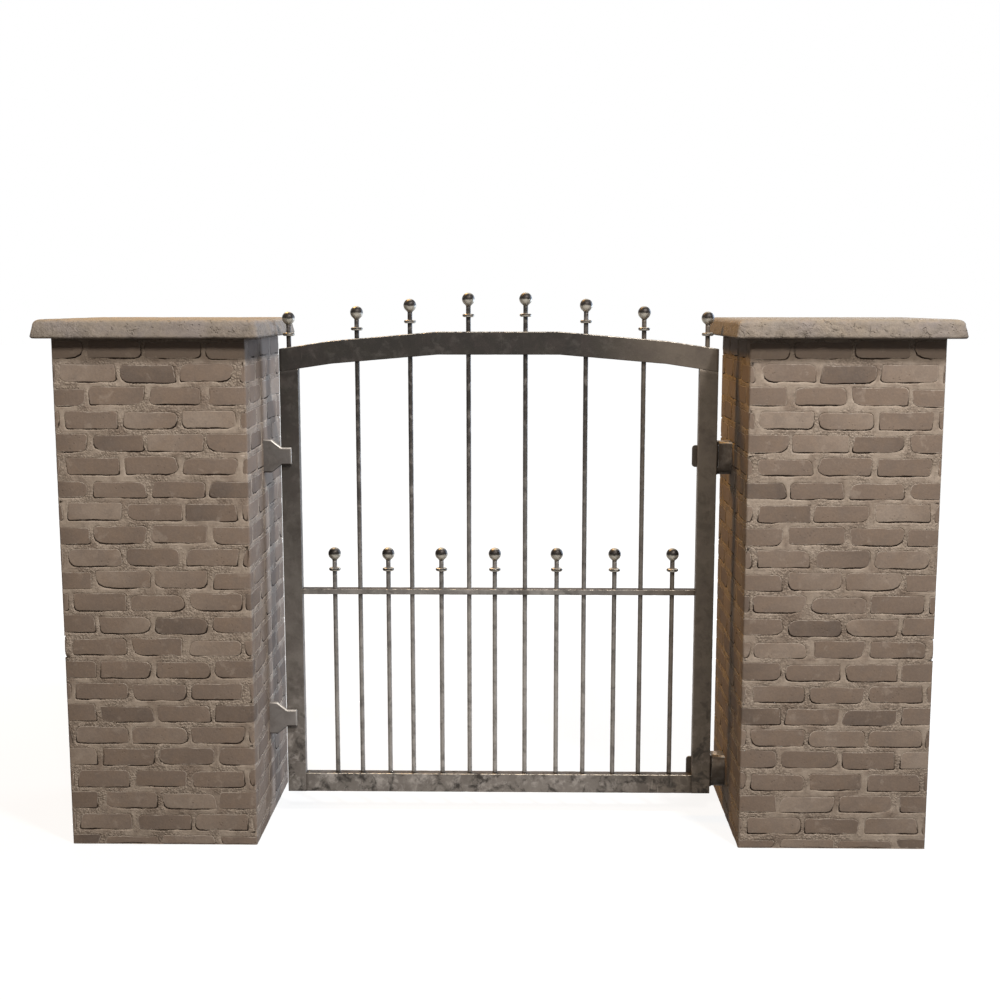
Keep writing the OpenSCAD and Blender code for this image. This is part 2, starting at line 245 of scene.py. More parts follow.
def grid_part(points, closed_rows=False, ends="fan", **marks):
    """A closed surface from rows of points, each row a ring that closes on itself.

    Rows close on each other when closed_rows is set. Otherwise the first and last ring are shut by
    a fan to their mean point, or by one flat polygon. Faces are turned so that they look outwards."""
    rows, cols = points.shape[:2]
    row = np.arange(rows if closed_rows else rows - 1)[:, None]
    col = np.arange(cols)[None, :]
    here, above = row * cols, (row + 1) % rows * cols
    side = (col + 1) % cols
    faces = [np.stack((here + col, here + side, above + side, above + col), -1).reshape(-1, 4)]
    flat = points.reshape(-1, 3)
    values = {name: np.broadcast_to(mark, (rows, cols)).reshape(-1) for name, mark in marks.items()}
    if not closed_rows and ends == "fan":
        for ring, order in ((0, -1), (rows - 1, 1)):
            rim = (ring * cols + np.arange(cols))[::order]
            centre = np.full(cols, len(flat))
            faces.append(np.stack((rim, np.roll(rim, -1), centre), -1))
            flat = np.vstack((flat, points[ring].mean(0)))
            values = {name: np.append(value, value[ring * cols:(ring + 1) * cols].mean())
                      for name, value in values.items()}
    elif not closed_rows:
        faces.append(np.arange(cols)[None, ::-1])
        faces.append(((rows - 1) * cols + np.arange(cols))[None, :])
    return outward({"points": flat, "faces": faces, "marks": values})


def outward(part):
    """Turns every face round if the part's signed volume, summed over its fans, is negative."""
    volume = 0.0
    for faces in part["faces"]:
        corner = part["points"][faces]
        for k in range(1, faces.shape[1] - 1):
            volume += np.einsum("ij,ij->", corner[:, 0], np.cross(corner[:, k], corner[:, k + 1]))
    if volume < 0:
        part["faces"] = [faces[:, ::-1] for faces in part["faces"]]
    return part


def join_parts(parts):
    """One surface from several, with their marks."""
    starts = np.cumsum([0] + [len(p["points"]) for p in parts])
    names = sorted({name for p in parts for name in p["marks"]})
    return {
        "points": np.vstack([p["points"] for p in parts]),
        "faces": [f + s for p, s in zip(parts, starts) for f in p["faces"]],
        "marks": {n: np.concatenate([p["marks"].get(n, np.zeros(len(p["points"]))) for p in parts])
                  for n in names},
    }


def make_piece(name, part, material, body, node):
    """Puts a surface into a mesh object, gives it its marks and material, and fixes it to the frame."""
    mesh = bpy.data.meshes.new(name)
    sizes = np.concatenate([np.full(len(f), f.shape[1]) for f in part["faces"]])
    corners = np.concatenate([f.ravel() for f in part["faces"]])
    mesh.vertices.add(len(part["points"]))
    mesh.vertices.foreach_set("co", part["points"].astype(np.float32).ravel())
    mesh.loops.add(len(corners))
    mesh.loops.foreach_set("vertex_index", corners.astype(np.int32))
    mesh.polygons.add(len(sizes))
    mesh.polygons.foreach_set("loop_start", np.append(0, np.cumsum(sizes)[:-1]).astype(np.int32))
    mesh.polygons.foreach_set("use_smooth", np.full(len(sizes), True))
    mesh.update(calc_edges=True)
    if mesh.validate():
        raise ValueError(f"{name} has faces that Blender had to mend")
    for mark, values in part["marks"].items():
        mesh.attributes.new(mark, "FLOAT", "POINT").data.foreach_set("value", values.astype(np.float32))
    mesh.materials.append(material)
    piece = bpy.data.objects.new(name, mesh)
    bpy.context.scene.collection.objects.link(piece)
    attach(piece, body)
    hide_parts(node)


# ---------------------------------------------------------------- shader helpers


class Wiring:
    """Short calls for adding and joining the nodes of one tree."""

    def __init__(self, tree):
        """Takes the tree that the calls add to."""
        self.tree = tree

    def add(self, kind, sockets=None, **settings):
        """Adds a node. A socket value that is itself a socket is wired, and any other is set."""
        node = self.tree.nodes.new("ShaderNode" + kind)
        for name, value in settings.items():
            setattr(node, name, value)
        for name, value in (sockets or {}).items():
            self.feed(node.inputs[name], value)
        return node

    def feed(self, socket, value):
        """Wires a socket to another one, or sets it to a value."""
        if isinstance(value, bpy.types.NodeSocket):
            self.tree.links.new(value, socket)
        elif socket.type == "RGBA" and len(value) == 3:
            socket.default_value = (*value, 1.0)
        else:
            socket.default_value = value

    def math(self, operation, *values, clamp=False):
        """One step of arithmetic."""
        node = self.add("Math", dict(enumerate(values)), operation=operation, use_clamp=clamp)
        return node.outputs[0]

    def times(self, first, second):
        """The product of two values."""
        return self.math("MULTIPLY", first, second)

    def plus(self, first, second, clamp=False):
        """The sum of two values."""
        return self.math("ADD", first, second, clamp=clamp)

    def less(self, first, second, clamp=False):
        """The first value less the second."""
        return self.math("SUBTRACT", first, second, clamp=clamp)

    def rest(self, share):
        """What a share leaves of 1."""
        return self.math("SUBTRACT", 1.0, share)

    def most(self, first, second):
        """The larger of two values."""
        return self.math("MAXIMUM", first, second)

    def noise(self, vector, scale, detail=4.0, roughness=0.55, distortion=0.0):
        """Noise from about 0.2 to 0.8, mostly near 0.5."""
        node = self.add("TexNoise", {"Vector": vector, "Scale": scale, "Detail": detail,
                                     "Roughness": roughness, "Distortion": distortion})
        return node.outputs["Fac"]

    def stretch(self, vector, scale, turn=(0.0, 0.0, 0.0)):
        """A place scaled and turned."""
        node = self.add("Mapping", {"Vector": vector, "Scale": scale, "Rotation": turn})
        return node.outputs[0]

    def span(self, value, low, high):
        """The value carried from low..high to 0..1, smooth at both ends."""
        node = self.add("MapRange", {"Value": value, "From Min": low, "From Max": high},
                        interpolation_type="SMOOTHSTEP")
        return node.outputs["Result"]

    def mix(self, share, first, second, blend="MIX"):
        """The first colour with a share of the second."""
        node = self.add("Mix", data_type="RGBA", blend_type=blend)
        self.feed(node.inputs[0], share)
        self.feed(node.inputs[6], first)
        self.feed(node.inputs[7], second)
        return node.outputs[2]

    def tint(self, base, mask, share, colour):
        """The base with a share of a colour laid over it where the mask is."""
        return self.mix(self.times(mask, share), base, colour)

    def mark(self, name):
        """What a piece's mark of this name says at each point."""
        return self.add("Attribute", attribute_name=name).outputs["Fac"]

    def height(self, place):
        """Height above the ground."""
        return self.add("SeparateXYZ", {"Vector": place}).outputs["Z"]

    def bump(self, height, distance, strength=1.0, normal=None):
        """The normal of a relief whose height of 1 stands for the distance."""
        sockets = {"Height": height, "Distance": distance, "Strength": strength}
        if normal is not None:
            sockets["Normal"] = normal
        return self.add("Bump", sockets).outputs[0]

    def group(self, name, sockets):
        """The outputs of a shared effect."""
        node = self.add("Group", node_tree=bpy.data.node_groups[name])
        for socket, value in sockets.items():
            self.feed(node.inputs[socket], value)
        return node.outputs

    def blotches(self, place, scale, cover, softness=0.12):
        """A mask of soft patches."""
        sockets = {"Vector": place, "Scale": scale, "Cover": cover, "Softness": softness}
        return self.group("gate_blotches", sockets)["Mask"]

    def patched(self, base, place, scale, cover, softness, share, colour):
        """The base with soft patches of a share of a colour laid over it."""
        return self.tint(base, self.blotches(place, scale, cover, softness), share, colour)

    def ragged(self, place, scale, detail, roughness, reach):
        """Noise round 0, up to about half the reach either way."""
        return self.times(self.less(self.noise(place, scale, detail, roughness), 0.5), reach)

    def grained(self, base, shade, share, tints):
        """The base with grain of two tints laid softly over it."""
        return self.mix(share, base, self.mix(shade, *tints), "SOFT_LIGHT")

    def grain(self, place, scale, roughness):
        """Fine grain, as a shade and as a height."""
        return self.group("gate_grain", {"Vector": place, "Scale": scale, "Roughness": roughness})

    def pits(self, place, scale, amount):
        """A mask of round pits."""
        return self.group("gate_pits", {"Vector": place, "Scale": scale, "Amount": amount})["Mask"]

    def edge_wear_and_highlight(self, place, **values):
        """Rubbed edges of a piece with a painted highlight where they face the aim, from its worn mark
        and the way that its surface faces.
        """
        normal = self.add("NewGeometry").outputs["Normal"]
        return self.group("gate_edge_wear", {"Vector": place, "Normal": normal,
                                             "Worn": self.mark("worn"), **values})


def new_group(name, inputs, outputs):
    """An empty node group with named sockets, and its wiring, input and output nodes."""
    tree = bpy.data.node_groups.new(name, "ShaderNodeTree")
    for socket, (kind, default) in inputs.items():
        made = tree.interface.new_socket(name=socket, in_out="INPUT", socket_type="NodeSocket" + kind)
        if default is not None:
            made.default_value = default
    for socket, kind in outputs.items():
        tree.interface.new_socket(name=socket, in_out="OUTPUT", socket_type="NodeSocket" + kind)
    entry = tree.nodes.new("NodeGroupInput")
    leave = tree.nodes.new("NodeGroupOutput")
    return Wiring(tree), entry.outputs, leave.inputs


def build_groups():
    """The effects that several finishes share."""
    build_grain()
    build_blotches()
    build_edge_wear_and_highlight()
    build_scratches()
    build_pits()


def build_grain():
    """Fine grain: two sizes of noise, one twice as strong as the other."""
    w, inp, out = new_group("gate_grain", {"Vector": ("Vector", None), "Scale": ("Float", 300.0),
                                           "Roughness": ("Float", 0.6)},
                            {"Shade": "Float", "Height": "Float"})
    fine = w.noise(inp["Vector"], inp["Scale"], 6.0, inp["Roughness"])
    coarse = w.noise(inp["Vector"], w.times(inp["Scale"], 0.31), 4.0, inp["Roughness"])
    both = w.plus(w.times(fine, 0.34), w.times(coarse, 0.66))
    w.feed(out["Shade"], w.span(both, 0.32, 0.68))
    w.feed(out["Height"], both)


def build_blotches():
    """Soft patches with ragged rims, like damp or handling marks."""
    w, inp, out = new_group("gate_blotches", {"Vector": ("Vector", None), "Scale": ("Float", 10.0),
                                              "Cover": ("Float", 0.5), "Softness": ("Float", 0.12)},
                            {"Mask": "Float"})
    field = w.noise(inp["Vector"], inp["Scale"], 7.0, 0.62, 0.4)
    low = w.less(w.rest(inp["Cover"]), inp["Softness"])
    high = w.plus(w.rest(inp["Cover"]), inp["Softness"])
    w.feed(out["Mask"], w.span(field, low, high))


def build_edge_wear_and_highlight():
    """Edges rubbed bright with a painted highlight where they face the aim, the way the lamps shine:
    the piece's worn mark, broken up by noise, times the share by which the normal turns towards the
    aim."""
    w, inp, out = new_group(
        "gate_edge_wear",
        {"Vector": ("Vector", None), "Normal": ("Vector", None), "Aim": ("Vector", (0.0, 0.0, 1.0)),
         "Worn": ("Float", 0.0), "Scale": ("Float", 60.0), "Amount": ("Float", 0.5),
         "Elsewhere": ("Float", 0.1)},
        {"Mask": "Float", "Facing": "Float"})
    ragged = w.noise(inp["Vector"], inp["Scale"], 5.0, 0.7)
    level = w.plus(inp["Worn"], w.times(w.less(ragged, 0.5), 2.2))
    low = w.less(1.15, inp["Amount"])
    rubbed = w.span(level, low, w.plus(low, 0.35))
    turned = w.add("VectorMath", {0: inp["Normal"], 1: inp["Aim"]}, operation="DOT_PRODUCT")
    facing = turned.outputs["Value"]
    towards = w.span(facing, 0.18, 0.48)
    level_side = w.times(w.span(facing, -0.3, -0.1), inp["Elsewhere"])
    w.feed(out["Mask"], w.times(rubbed, w.most(towards, level_side)))
    w.feed(out["Facing"], facing)


def build_scratches():
    """Thin slanting scratches: noise drawn out along two crossing directions."""
    w, inp, out = new_group("gate_scratches", {"Vector": ("Vector", None), "Scale": ("Float", 40.0),
                                               "Amount": ("Float", 0.5)},
                            {"Mask": "Float"})
    masks = []
    for turn in (0.55, -0.75):
        drawn = w.stretch(inp["Vector"], (1.0, 1.0, 0.05), (0.0, turn, 0.0))
        line = w.noise(drawn, w.times(inp["Scale"], 6.0), 2.0, 0.5)
        masks.append(w.span(line, 0.68, 0.76))
    patch = w.span(w.noise(inp["Vector"], w.times(inp["Scale"], 0.4), 2.0), 0.45, 0.65)
    both = w.most(*masks)
    w.feed(out["Mask"], w.times(w.times(both, patch), inp["Amount"]))


def build_pits():
    """Round pits: the hearts of some Voronoi cells."""
    w, inp, out = new_group("gate_pits", {"Vector": ("Vector", None), "Scale": ("Float", 120.0),
                                          "Amount": ("Float", 0.3)},
                            {"Mask": "Float"})
    cell = w.add("TexVoronoi", {"Vector": inp["Vector"], "Scale": inp["Scale"], "Randomness": 1.0})
    heart = w.rest(w.span(cell.outputs["Distance"], 0.08, 0.34))
    pick = w.noise(inp["Vector"], w.times(inp["Scale"], 0.23), 3.0)
    chosen = w.span(pick, w.less(0.78, inp["Amount"]), w.less(0.86, inp["Amount"]))
    w.feed(out["Mask"], w.times(heart, chosen))


def clear_wiring(owner):
    """The wiring of a new material or world, with no node in it."""
    owner.use_nodes = True
    owner.node_tree.nodes.clear()
    return Wiring(owner.node_tree)


def new_material(name):
    """An empty material with its wiring, its shader and the Object coordinates."""
    material = bpy.data.materials.new(name)
    w = clear_wiring(material)
    shader = w.add("BsdfPrincipled")
    leave = w.add("OutputMaterial", {"Surface": shader.outputs[0]})
    leave.is_active_output = True
    place = w.add("TexCoord").outputs["Object"]
    return material, w, shader.inputs, place


def set_surface(w, shader, colour, roughness, normal, specular, metal=0.0):
    """Feeds a shader all that its finish works out."""
    for name, value in (("Base Color", colour), ("Roughness", roughness), ("Normal", normal),
                        ("Specular IOR Level", specular), ("Metallic", metal)):
        w.feed(shader[name], value)


# ---------------------------------------------------------------- finishes


# Tints laid over the main colours
CLAY_WARM, CLAY_GREY = srgb(131, 113, 97), srgb(111, 101, 94)
BRICK_GRAIN = srgb(70, 60, 52), srgb(205, 192, 175)
# Painted cool shade over the last course under a capstone
UNDER_CAP_SHADE = srgb(122, 112, 104)
MORTAR_PATCH = srgb(143, 131, 119)
MORTAR_GRAIN = srgb(92, 82, 72), srgb(215, 202, 186)
STONE_WARM, STONE_COOL = srgb(140, 127, 110), srgb(127, 120, 120)
STONE_GRAIN = srgb(80, 72, 64), srgb(205, 195, 180)
STEEL_OLIVE, STEEL_PLUM = srgb(57, 53, 45), srgb(68, 59, 56)
BLOOM_PALE, BLOOM_BROWN = srgb(160, 153, 146), srgb(112, 102, 92)
PLATE_BLOOM = srgb(128, 121, 116)

# Stretches over which the steel changes, in metres along X or Z
HINGE_SIDE = 0.25, 0.74
CATCH_SIDE = -0.95, -0.1
# Over this rise the painted light low on the leaf fades out
PAINTED_LIGHT_RISE = 0.15, 1.75
SPLASH = 0.12, 0.6
PLATE_CHANGE = 0.5, 1.2

# Direction towards the lamps, in which a plate's bevels get a painted highlight
BEVEL_AIM = 0.55, 0.0, 0.83


def brick_finish(p):
    """Worn brick: each brick has its own tone, softly mottled, with painted shade along its lower edge,
    greyed by painted shade under the capstone, and faded into the mortar along the others."""
    material, w, shader, place = new_material("worn_brick")
    tone, fade, under = w.mark("tone"), w.mark("fade"), w.mark("under")
    base = w.mix(w.span(tone, 0.0, 0.5), p.brick_dark, p.brick_mid)
    base = w.mix(w.span(tone, 0.5, 1.0), base, p.brick_light)
    base = w.patched(base, place, scale=11.0, cover=0.46, softness=0.2, share=0.4, colour=CLAY_WARM)
    base = w.patched(base, place, scale=23.0, cover=0.42, softness=0.16, share=0.35, colour=CLAY_GREY)
    base = w.patched(base, place, scale=17.0, cover=0.37, softness=0.05, share=0.3,
                     colour=p.mortar_light)
    grain = w.grain(place, scale=420.0, roughness=0.7)
    base = w.grained(base, grain["Shade"], 0.22, BRICK_GRAIN)
    pits = w.pits(place, scale=80.0, amount=0.22)
    base = w.tint(base, pits, 0.5, p.mortar_dark)
    ragged = w.less(w.noise(place, 95.0, 5.0, 0.65), 0.5)
    blend = w.span(w.plus(fade, w.times(ragged, 2.2)), 0.30, 0.90)
    smeared = w.span(w.noise(place, 16.0, 3.0), 0.36, 0.58)
    blend = w.times(blend, w.plus(0.15, w.times(smeared, 0.85)))
    base = w.tint(base, blend, 0.82, p.mortar_light)
    # Painted shade: the under mark, torn by noise, darkens the groove along each brick's lower edge to
    # the crevice colour.
    torn = w.plus(under, w.ragged(place, scale=48.0, detail=4.0, roughness=0.6, reach=1.1))
    dirt = w.span(torn, 0.32, 0.66)
    base = w.mix(w.times(dirt, 0.92), under_cap_shade(w, place, base), p.crevice)
    height = w.plus(w.times(grain["Height"], 0.35), w.noise(place, 60.0, 3.0, 0.5))
    height = w.less(height, w.times(pits, 0.6))
    height = w.plus(height, w.times(w.times(blend, ragged), 1.8))
    roughness = w.span(grain["Shade"], -3.0, 1.4)
    set_surface(w, shader, base, roughness, w.bump(height, distance=0.0016, strength=0.6), specular=0.2)
    return material


def under_cap_shade(w, place, base):
    """The colour greyed over the last course under a capstone: painted cool shade that the capstone's
    overhang casts.
    """
    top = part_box("left_pier")[1].z
    height = w.height(place)
    return w.tint(base, w.span(height, top - 0.12, top - 0.05), 0.42, UNDER_CAP_SHADE)


def mortar_finish(p):
    """Mortar: smooth and pale in some places and crumbly in others, with painted shade in its grooves
    under the bricks and under the capstone.
    """
    material, w, shader, place = new_material("sandy_mortar")
    grain = w.grain(place, scale=300.0, roughness=0.75)
    crumbly = w.blotches(place, scale=8.0, cover=0.50, softness=0.07)
    base = w.mix(w.blotches(place, scale=15.0, cover=0.5, softness=0.2), p.mortar_light, MORTAR_PATCH)
    base = w.patched(base, place, scale=9.0, cover=0.44, softness=0.1, share=0.75, colour=p.brick_mid)
    base = w.grained(base, grain["Shade"], 0.3, MORTAR_GRAIN)
    crumbs = w.add("TexVoronoi", {"Vector": place, "Scale": 130.0, "Randomness": 1.0}, feature="F1")
    lumps = w.rest(w.span(crumbs.outputs["Distance"], 0.05, 0.85))
    pebbles = w.times(w.plus(lumps, w.noise(place, 170.0, 4.0, 0.65)), 0.5)
    hollows = w.times(crumbly, w.rest(w.span(pebbles, 0.30, 0.56)))
    base = w.tint(base, hollows, 0.50, p.mortar_dark)
    # Painted shade: the under mark, torn by noise, darkens the mortar's grooves under the bricks to the
    # crevice colour.
    torn = w.ragged(place, scale=55.0, detail=4.0, roughness=0.6, reach=0.9)
    dirt = w.span(w.plus(w.mark("under"), torn), 0.32, 0.72)
    base = w.mix(w.times(dirt, 0.92), under_cap_shade(w, place, base), p.crevice)
    height = w.plus(w.times(grain["Height"], 0.35), w.times(w.times(pebbles, crumbly), 2.2))
    height = w.plus(height, w.times(w.noise(place, 70.0, 3.0, 0.5), 0.5))
    set_surface(w, shader, base, 0.95, w.bump(height, distance=0.0018, strength=0.8), specular=0.15)
    return material


def stone_finish(p):
    """Cast stone: mottled, bleached along the top, shaded low down, with pits, dirt and fine cracks."""
    material, w, shader, place = new_material("cast_stone")
    base = w.patched(p.stone, place, scale=6.0, cover=0.5, softness=0.2, share=0.6, colour=STONE_WARM)
    base = w.patched(base, place, scale=11.0, cover=0.45, softness=0.15, share=0.5, colour=STONE_COOL)
    dirt = w.blotches(place, scale=17.0, cover=0.42)
    low = w.times(w.plus(dirt, 0.25), w.mark("lower"))
    shaded = w.plus(w.times(dirt, 0.25), w.times(low, 0.6), clamp=True)
    base = w.mix(shaded, base, p.shade)
    base = w.mix(w.mark("upper"), base, p.bleach)
    grain = w.grain(place, scale=260.0, roughness=0.7)
    base = w.grained(base, grain["Shade"], 0.3, STONE_GRAIN)
    pits = w.pits(place, scale=95.0, amount=0.27)
    base = w.tint(base, pits, 0.35, p.stain)
    sway = w.add("TexNoise", {"Vector": place, "Scale": 22.0, "Detail": 4.0}).outputs["Color"]
    bent = w.add("VectorMath", {0: sway, 1: (0.06, 0.06, 0.06), 2: place}, operation="MULTIPLY_ADD")
    veins = w.add("TexVoronoi", {"Vector": bent.outputs[0], "Scale": 19.0}, feature="DISTANCE_TO_EDGE")
    line = w.rest(w.span(veins.outputs["Distance"], 0.0, 0.045))
    some = w.span(w.noise(place, 34.0, 3.0), 0.53, 0.66)
    cracks = w.times(line, some)
    base = w.tint(base, cracks, 0.5, p.stain)
    dents = w.noise(place, 38.0, 5.0, 0.6)
    rugged = w.span(w.noise(place, 4.5, 2.0), 0.35, 0.7)
    knobs = w.times(w.plus(0.9, w.times(rugged, 2.2)), dents)
    height = w.plus(w.times(grain["Height"], 0.3), knobs)
    height = w.less(height, w.times(w.most(cracks, pits), 0.6))
    set_surface(w, shader, base, 0.85, w.bump(height, distance=0.0046, strength=0.8), specular=0.3)
    return material


def steel_finish(name, leaf, light, metal=0.45, wear=0.46, gloss=0.45, scuffs=1.0, mottle=0.06,
                 fall=0.2):
    """Aged steel of the leaf: painted light low down, none beside the hinges and less on the catch
    side;
    scuffed low down, dark above and browner beside the hinges, dusty on upward faces and rubbed
    bright with a painted highlight along upward edges."""
    material, w, shader, place = new_material(name)
    spot = w.add("SeparateXYZ", {"Vector": place}).outputs
    sway = w.ragged(place, scale=3.5, detail=4.0, roughness=0.55, reach=0.7)
    hinge_side = w.span(spot["X"], *HINGE_SIDE)
    rise = w.span(w.plus(spot["Z"], sway), *PAINTED_LIGHT_RISE)
    catch_side = w.rest(w.span(spot["X"], *CATCH_SIDE))
    # Painted light: the pale share turns the steel towards the light colour low down, less on the catch
    # side and none by the hinges.
    pale = w.times(w.rest(rise), w.rest(hinge_side))
    pale = w.times(pale, w.rest(w.times(catch_side, fall)))
    base = w.mix(pale, w.mix(hinge_side, leaf.steel_dark, leaf.steel_brown), light)
    base = w.patched(base, place, scale=9.0, cover=0.44, softness=0.15, share=0.3, colour=STEEL_OLIVE)
    base = w.patched(base, place, scale=14.0, cover=0.44, softness=0.15, share=0.35, colour=STEEL_PLUM)
    bloom = w.blotches(place, scale=27.0, cover=0.42, softness=0.1)
    splash = w.times(w.rest(w.span(spot["Z"], *SPLASH)), scuffs)
    low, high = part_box("bottom_rail")
    height = w.span(spot["Z"], low.z, high.z)
    share = w.times(splash, w.plus(0.45, w.times(height, 0.5)))
    base = w.tint(base, bloom, w.plus(share, mottle), w.mix(hinge_side, BLOOM_PALE, BLOOM_BROWN))
    soot = w.blotches(place, scale=21.0, cover=0.42, softness=0.08)
    base = w.tint(base, soot, w.plus(w.times(splash, 0.65), 0.1 + mottle), leaf.steel_dark)
    marks = w.group("gate_scratches", {"Vector": place, "Scale": 26.0, "Amount": 0.5})["Mask"]
    base = w.tint(base, marks, w.plus(w.times(splash, 0.7), 0.12), leaf.bright)
    # Rubbed edges with a painted highlight on those that face up, towards the lamps.
    rubbed = w.edge_wear_and_highlight(place, Scale=70.0, Amount=wear, Elsewhere=0.08)
    dusty = w.span(rubbed["Facing"], 0.55, 0.9)
    base = w.tint(base, dusty, 0.8, leaf.dust)
    base = w.mix(rubbed["Mask"], base, leaf.bright)
    grain = w.grain(place, scale=380.0, roughness=0.65)
    rough = w.plus(w.plus(w.times(grain["Shade"], 0.16), w.times(soot, 0.14)), gloss)
    rough = w.less(rough, w.times(rubbed["Mask"], 0.14), clamp=True)
    relief = w.plus(w.times(grain["Height"], 0.3), w.noise(place, 42.0, 3.0, 0.5))
    relief = w.less(relief, w.times(w.pits(place, scale=210.0, amount=0.26), 0.5))
    set_surface(w, shader, base, rough, w.bump(relief, distance=0.0009, strength=0.6),
                specular=0.25, metal=metal)
    return material


def plate_finish(name, steel, low_steel, p, leaf, wear=0.75):
    """Rolled plate: even steel with faint smudges, a painted highlight on bevels that face up or
    outwards and painted shade on worn rims that face away.
    """
    material, w, shader, place = new_material(name)
    smudge = w.blotches(place, scale=19.0, cover=0.46, softness=0.15)
    steel = w.mix(w.span(w.height(place), *PLATE_CHANGE), low_steel, steel)
    base = w.tint(steel, smudge, 0.3, leaf.dust)
    base = w.patched(base, place, scale=31.0, cover=0.44, softness=0.15, share=0.22, colour=PLATE_BLOOM)
    # Painted highlight on bevels facing the lamps, and painted shade in the dust colour on worn rims
    # that face away.
    rubbed = w.edge_wear_and_highlight(place, Aim=BEVEL_AIM, Scale=90.0, Amount=wear, Elsewhere=0.15)
    shaded = w.times(w.mark("worn"), w.rest(w.span(rubbed["Facing"], -0.45, -0.1)))
    base = w.tint(base, shaded, 0.7, leaf.dust)
    base = w.mix(rubbed["Mask"], base, p.bevel_highlight)
    grain = w.grain(place, scale=420.0, roughness=0.6)
    rough = w.plus(w.plus(w.times(grain["Shade"], 0.12), w.times(smudge, 0.10)), 0.42)
    relief = w.plus(grain["Height"], w.noise(place, 50.0, 3.0))
    set_surface(w, shader, base, rough, w.bump(relief, distance=0.0006, strength=0.5),
                specular=0.25, metal=0.55)
    return material


def painted_band_ball_finish(p, bright):
    """Turned steel in painted reflection bands: a painted highlight at the crown, a painted dark band
    over the upper half, painted light round the belly and painted shade again underneath."""
    material, w, shader, place = new_material("turned_steel")
    level = w.plus(w.mark("height"), w.ragged(place, scale=60.0, detail=5.0, roughness=0.65, reach=0.6))
    # Painted reflection bands by height: dark over the upper half, shade underneath, light round the
    # belly and crown.
    band = w.times(w.span(level, -0.25, 0.1), w.rest(w.span(level, 0.70, 0.98)))
    below = w.times(w.rest(w.span(level, -0.95, -0.55)), 0.6)
    base = w.mix(w.most(band, below), p.ball_light_band, p.ball_dark_band)
    smudge = w.blotches(place, scale=55.0, cover=0.42)
    base = w.tint(base, smudge, 0.3, p.ball_dark_band)
    rubbed = w.edge_wear_and_highlight(place, Scale=90.0, Amount=0.5, Elsewhere=0.2)["Mask"]
    base = w.mix(rubbed, base, bright)
    grain = w.grain(place, scale=420.0, roughness=0.6)
    rough = w.plus(w.times(grain["Shade"], 0.2), 0.36)
    relief = w.bump(grain["Height"], distance=0.0008, strength=0.6)
    set_surface(w, shader, base, rough, relief, specular=0.3, metal=0.7)
    return material


# ---------------------------------------------------------------- piers

# Bricks in one course, all the way round a pier
BRICKS_ROUND = 13

# Most that a joint, a brick's ends and its bed are off their even places
JOINT_OFF, END_OFF, BED_OFF = 0.005, 0.0055, 0.003
# Most that a brick's height falls short of its even size or goes past it
HEIGHT_SHORT, HEIGHT_OVER = 0.005, 0.0035
# Mortar left under the lowest bricks and above the highest
FOOT_MORTAR, HEAD_MORTAR = 0.003, 0.004
# Spread of the bricks' tones, and of the tone along one brick and from point to point
TONE_SPREAD, TONE_SLOPE, TONE_SPECK = 0.22, 0.16, 0.05

# Corners of a brick, lower two first: their least size as a share of its height, and the rest by chance
CORNER_LEAST, CORNER_MORE = 0.06, np.array((0.44, 0.44, 0.34, 0.34))
# Power that makes small corners commoner than large ones
CORNER_RARITY = 1.8
# Widths of a corner for its size, from least to most, and its height for its size
CORNER_WIDE, CORNER_TALL = (0.8, 2.0), 1.1
# Most of a brick's height that one corner may take
CORNER_LIMIT = 0.45
# Room kept between a pier's arris and a brick's corner, and least width of a corner there
ARRIS_ROOM, CORNER_MIN = 0.001, 0.0012
# Shortest stretch past an arris for which a brick turns it
TURN_MIN = 0.0015
# Waviness of a brick's long edges
EDGE_WAVE = 0.002

# Distance from a brick's ends at which its middle line stops
SPINE_SHORT = 0.030
# Stretch beside a pier's arris over which the faces become even
ARRIS_BLEND = 0.003, 0.018

# Parts into which an outline's long edges are cut in the mortar, and stops round the core
FINE_PARTS, CORE_STOPS = 3, 32
# Shares of the lip's set width: on a clean stretch, what the crevice share adds, and the width of the
# groove
LIP_CLEAN, LIP_CREVICE, GROOVE_WIDE = 0.5, 0.9, 0.25
# The most that lip and groove take of the way to the cell's edge
LIP_MOST, GROOVE_MOST = 0.6, 0.2
# Share of the way to the brick at which a lip is held off its cell's edges
LIP_HELD = 0.4
# Reach of the ring that keeps a block's face flat, and its most as a share of the way to the lip
FLAT_REACH, FLAT_MOST = 0.0005, 0.3
# How far the mortar laps under a brick, and how far it runs up to a clean one
UNDER_LAP, CLEAN_LAP = 0.002, 0.0004
# Painted crevice shade along an outline: everywhere, and what it gains under a brick and at its ends
CREVICE_SHADE_LEAST, CREVICE_SHADE_UNDER, CREVICE_SHADE_ENDS = 0.05, 1.1, 0.45
# Width of the crevice shade's patches, its share between them, and the step from the lay's seed to the
# crevice shade's
PATCH_WIDE, PATCH_LEAST, CREVICE_SHADE_SEED = 0.060, 0.08, 5
# Share of the painted crevice shade that shows on a lip
LIP_SHADE = 0.22
# Heights and widths of the small and the large lumps in the mortar, and width of its deeper places
LUMPS, RECESS_WIDE = ((0.0005, 0.009), (0.0006, 0.030)), 0.07

# Steps of a brick's rings in towards its middle line
HEM, CROWN = 0.0012, 0.0045
# Drop of a brick's shoulder, what the crevice share adds to it, and the share of it that the next ring
# drops
SHOULDER_DROP, CREVICE_DROP, HEM_DROP = 0.0002, 0.0007, 0.3
# How far the crown ring fades into the mortar's colour
CROWN_FADE = 0.12
# Roughness of a brick's face from point to point
FACE_ROUGH = 0.0003

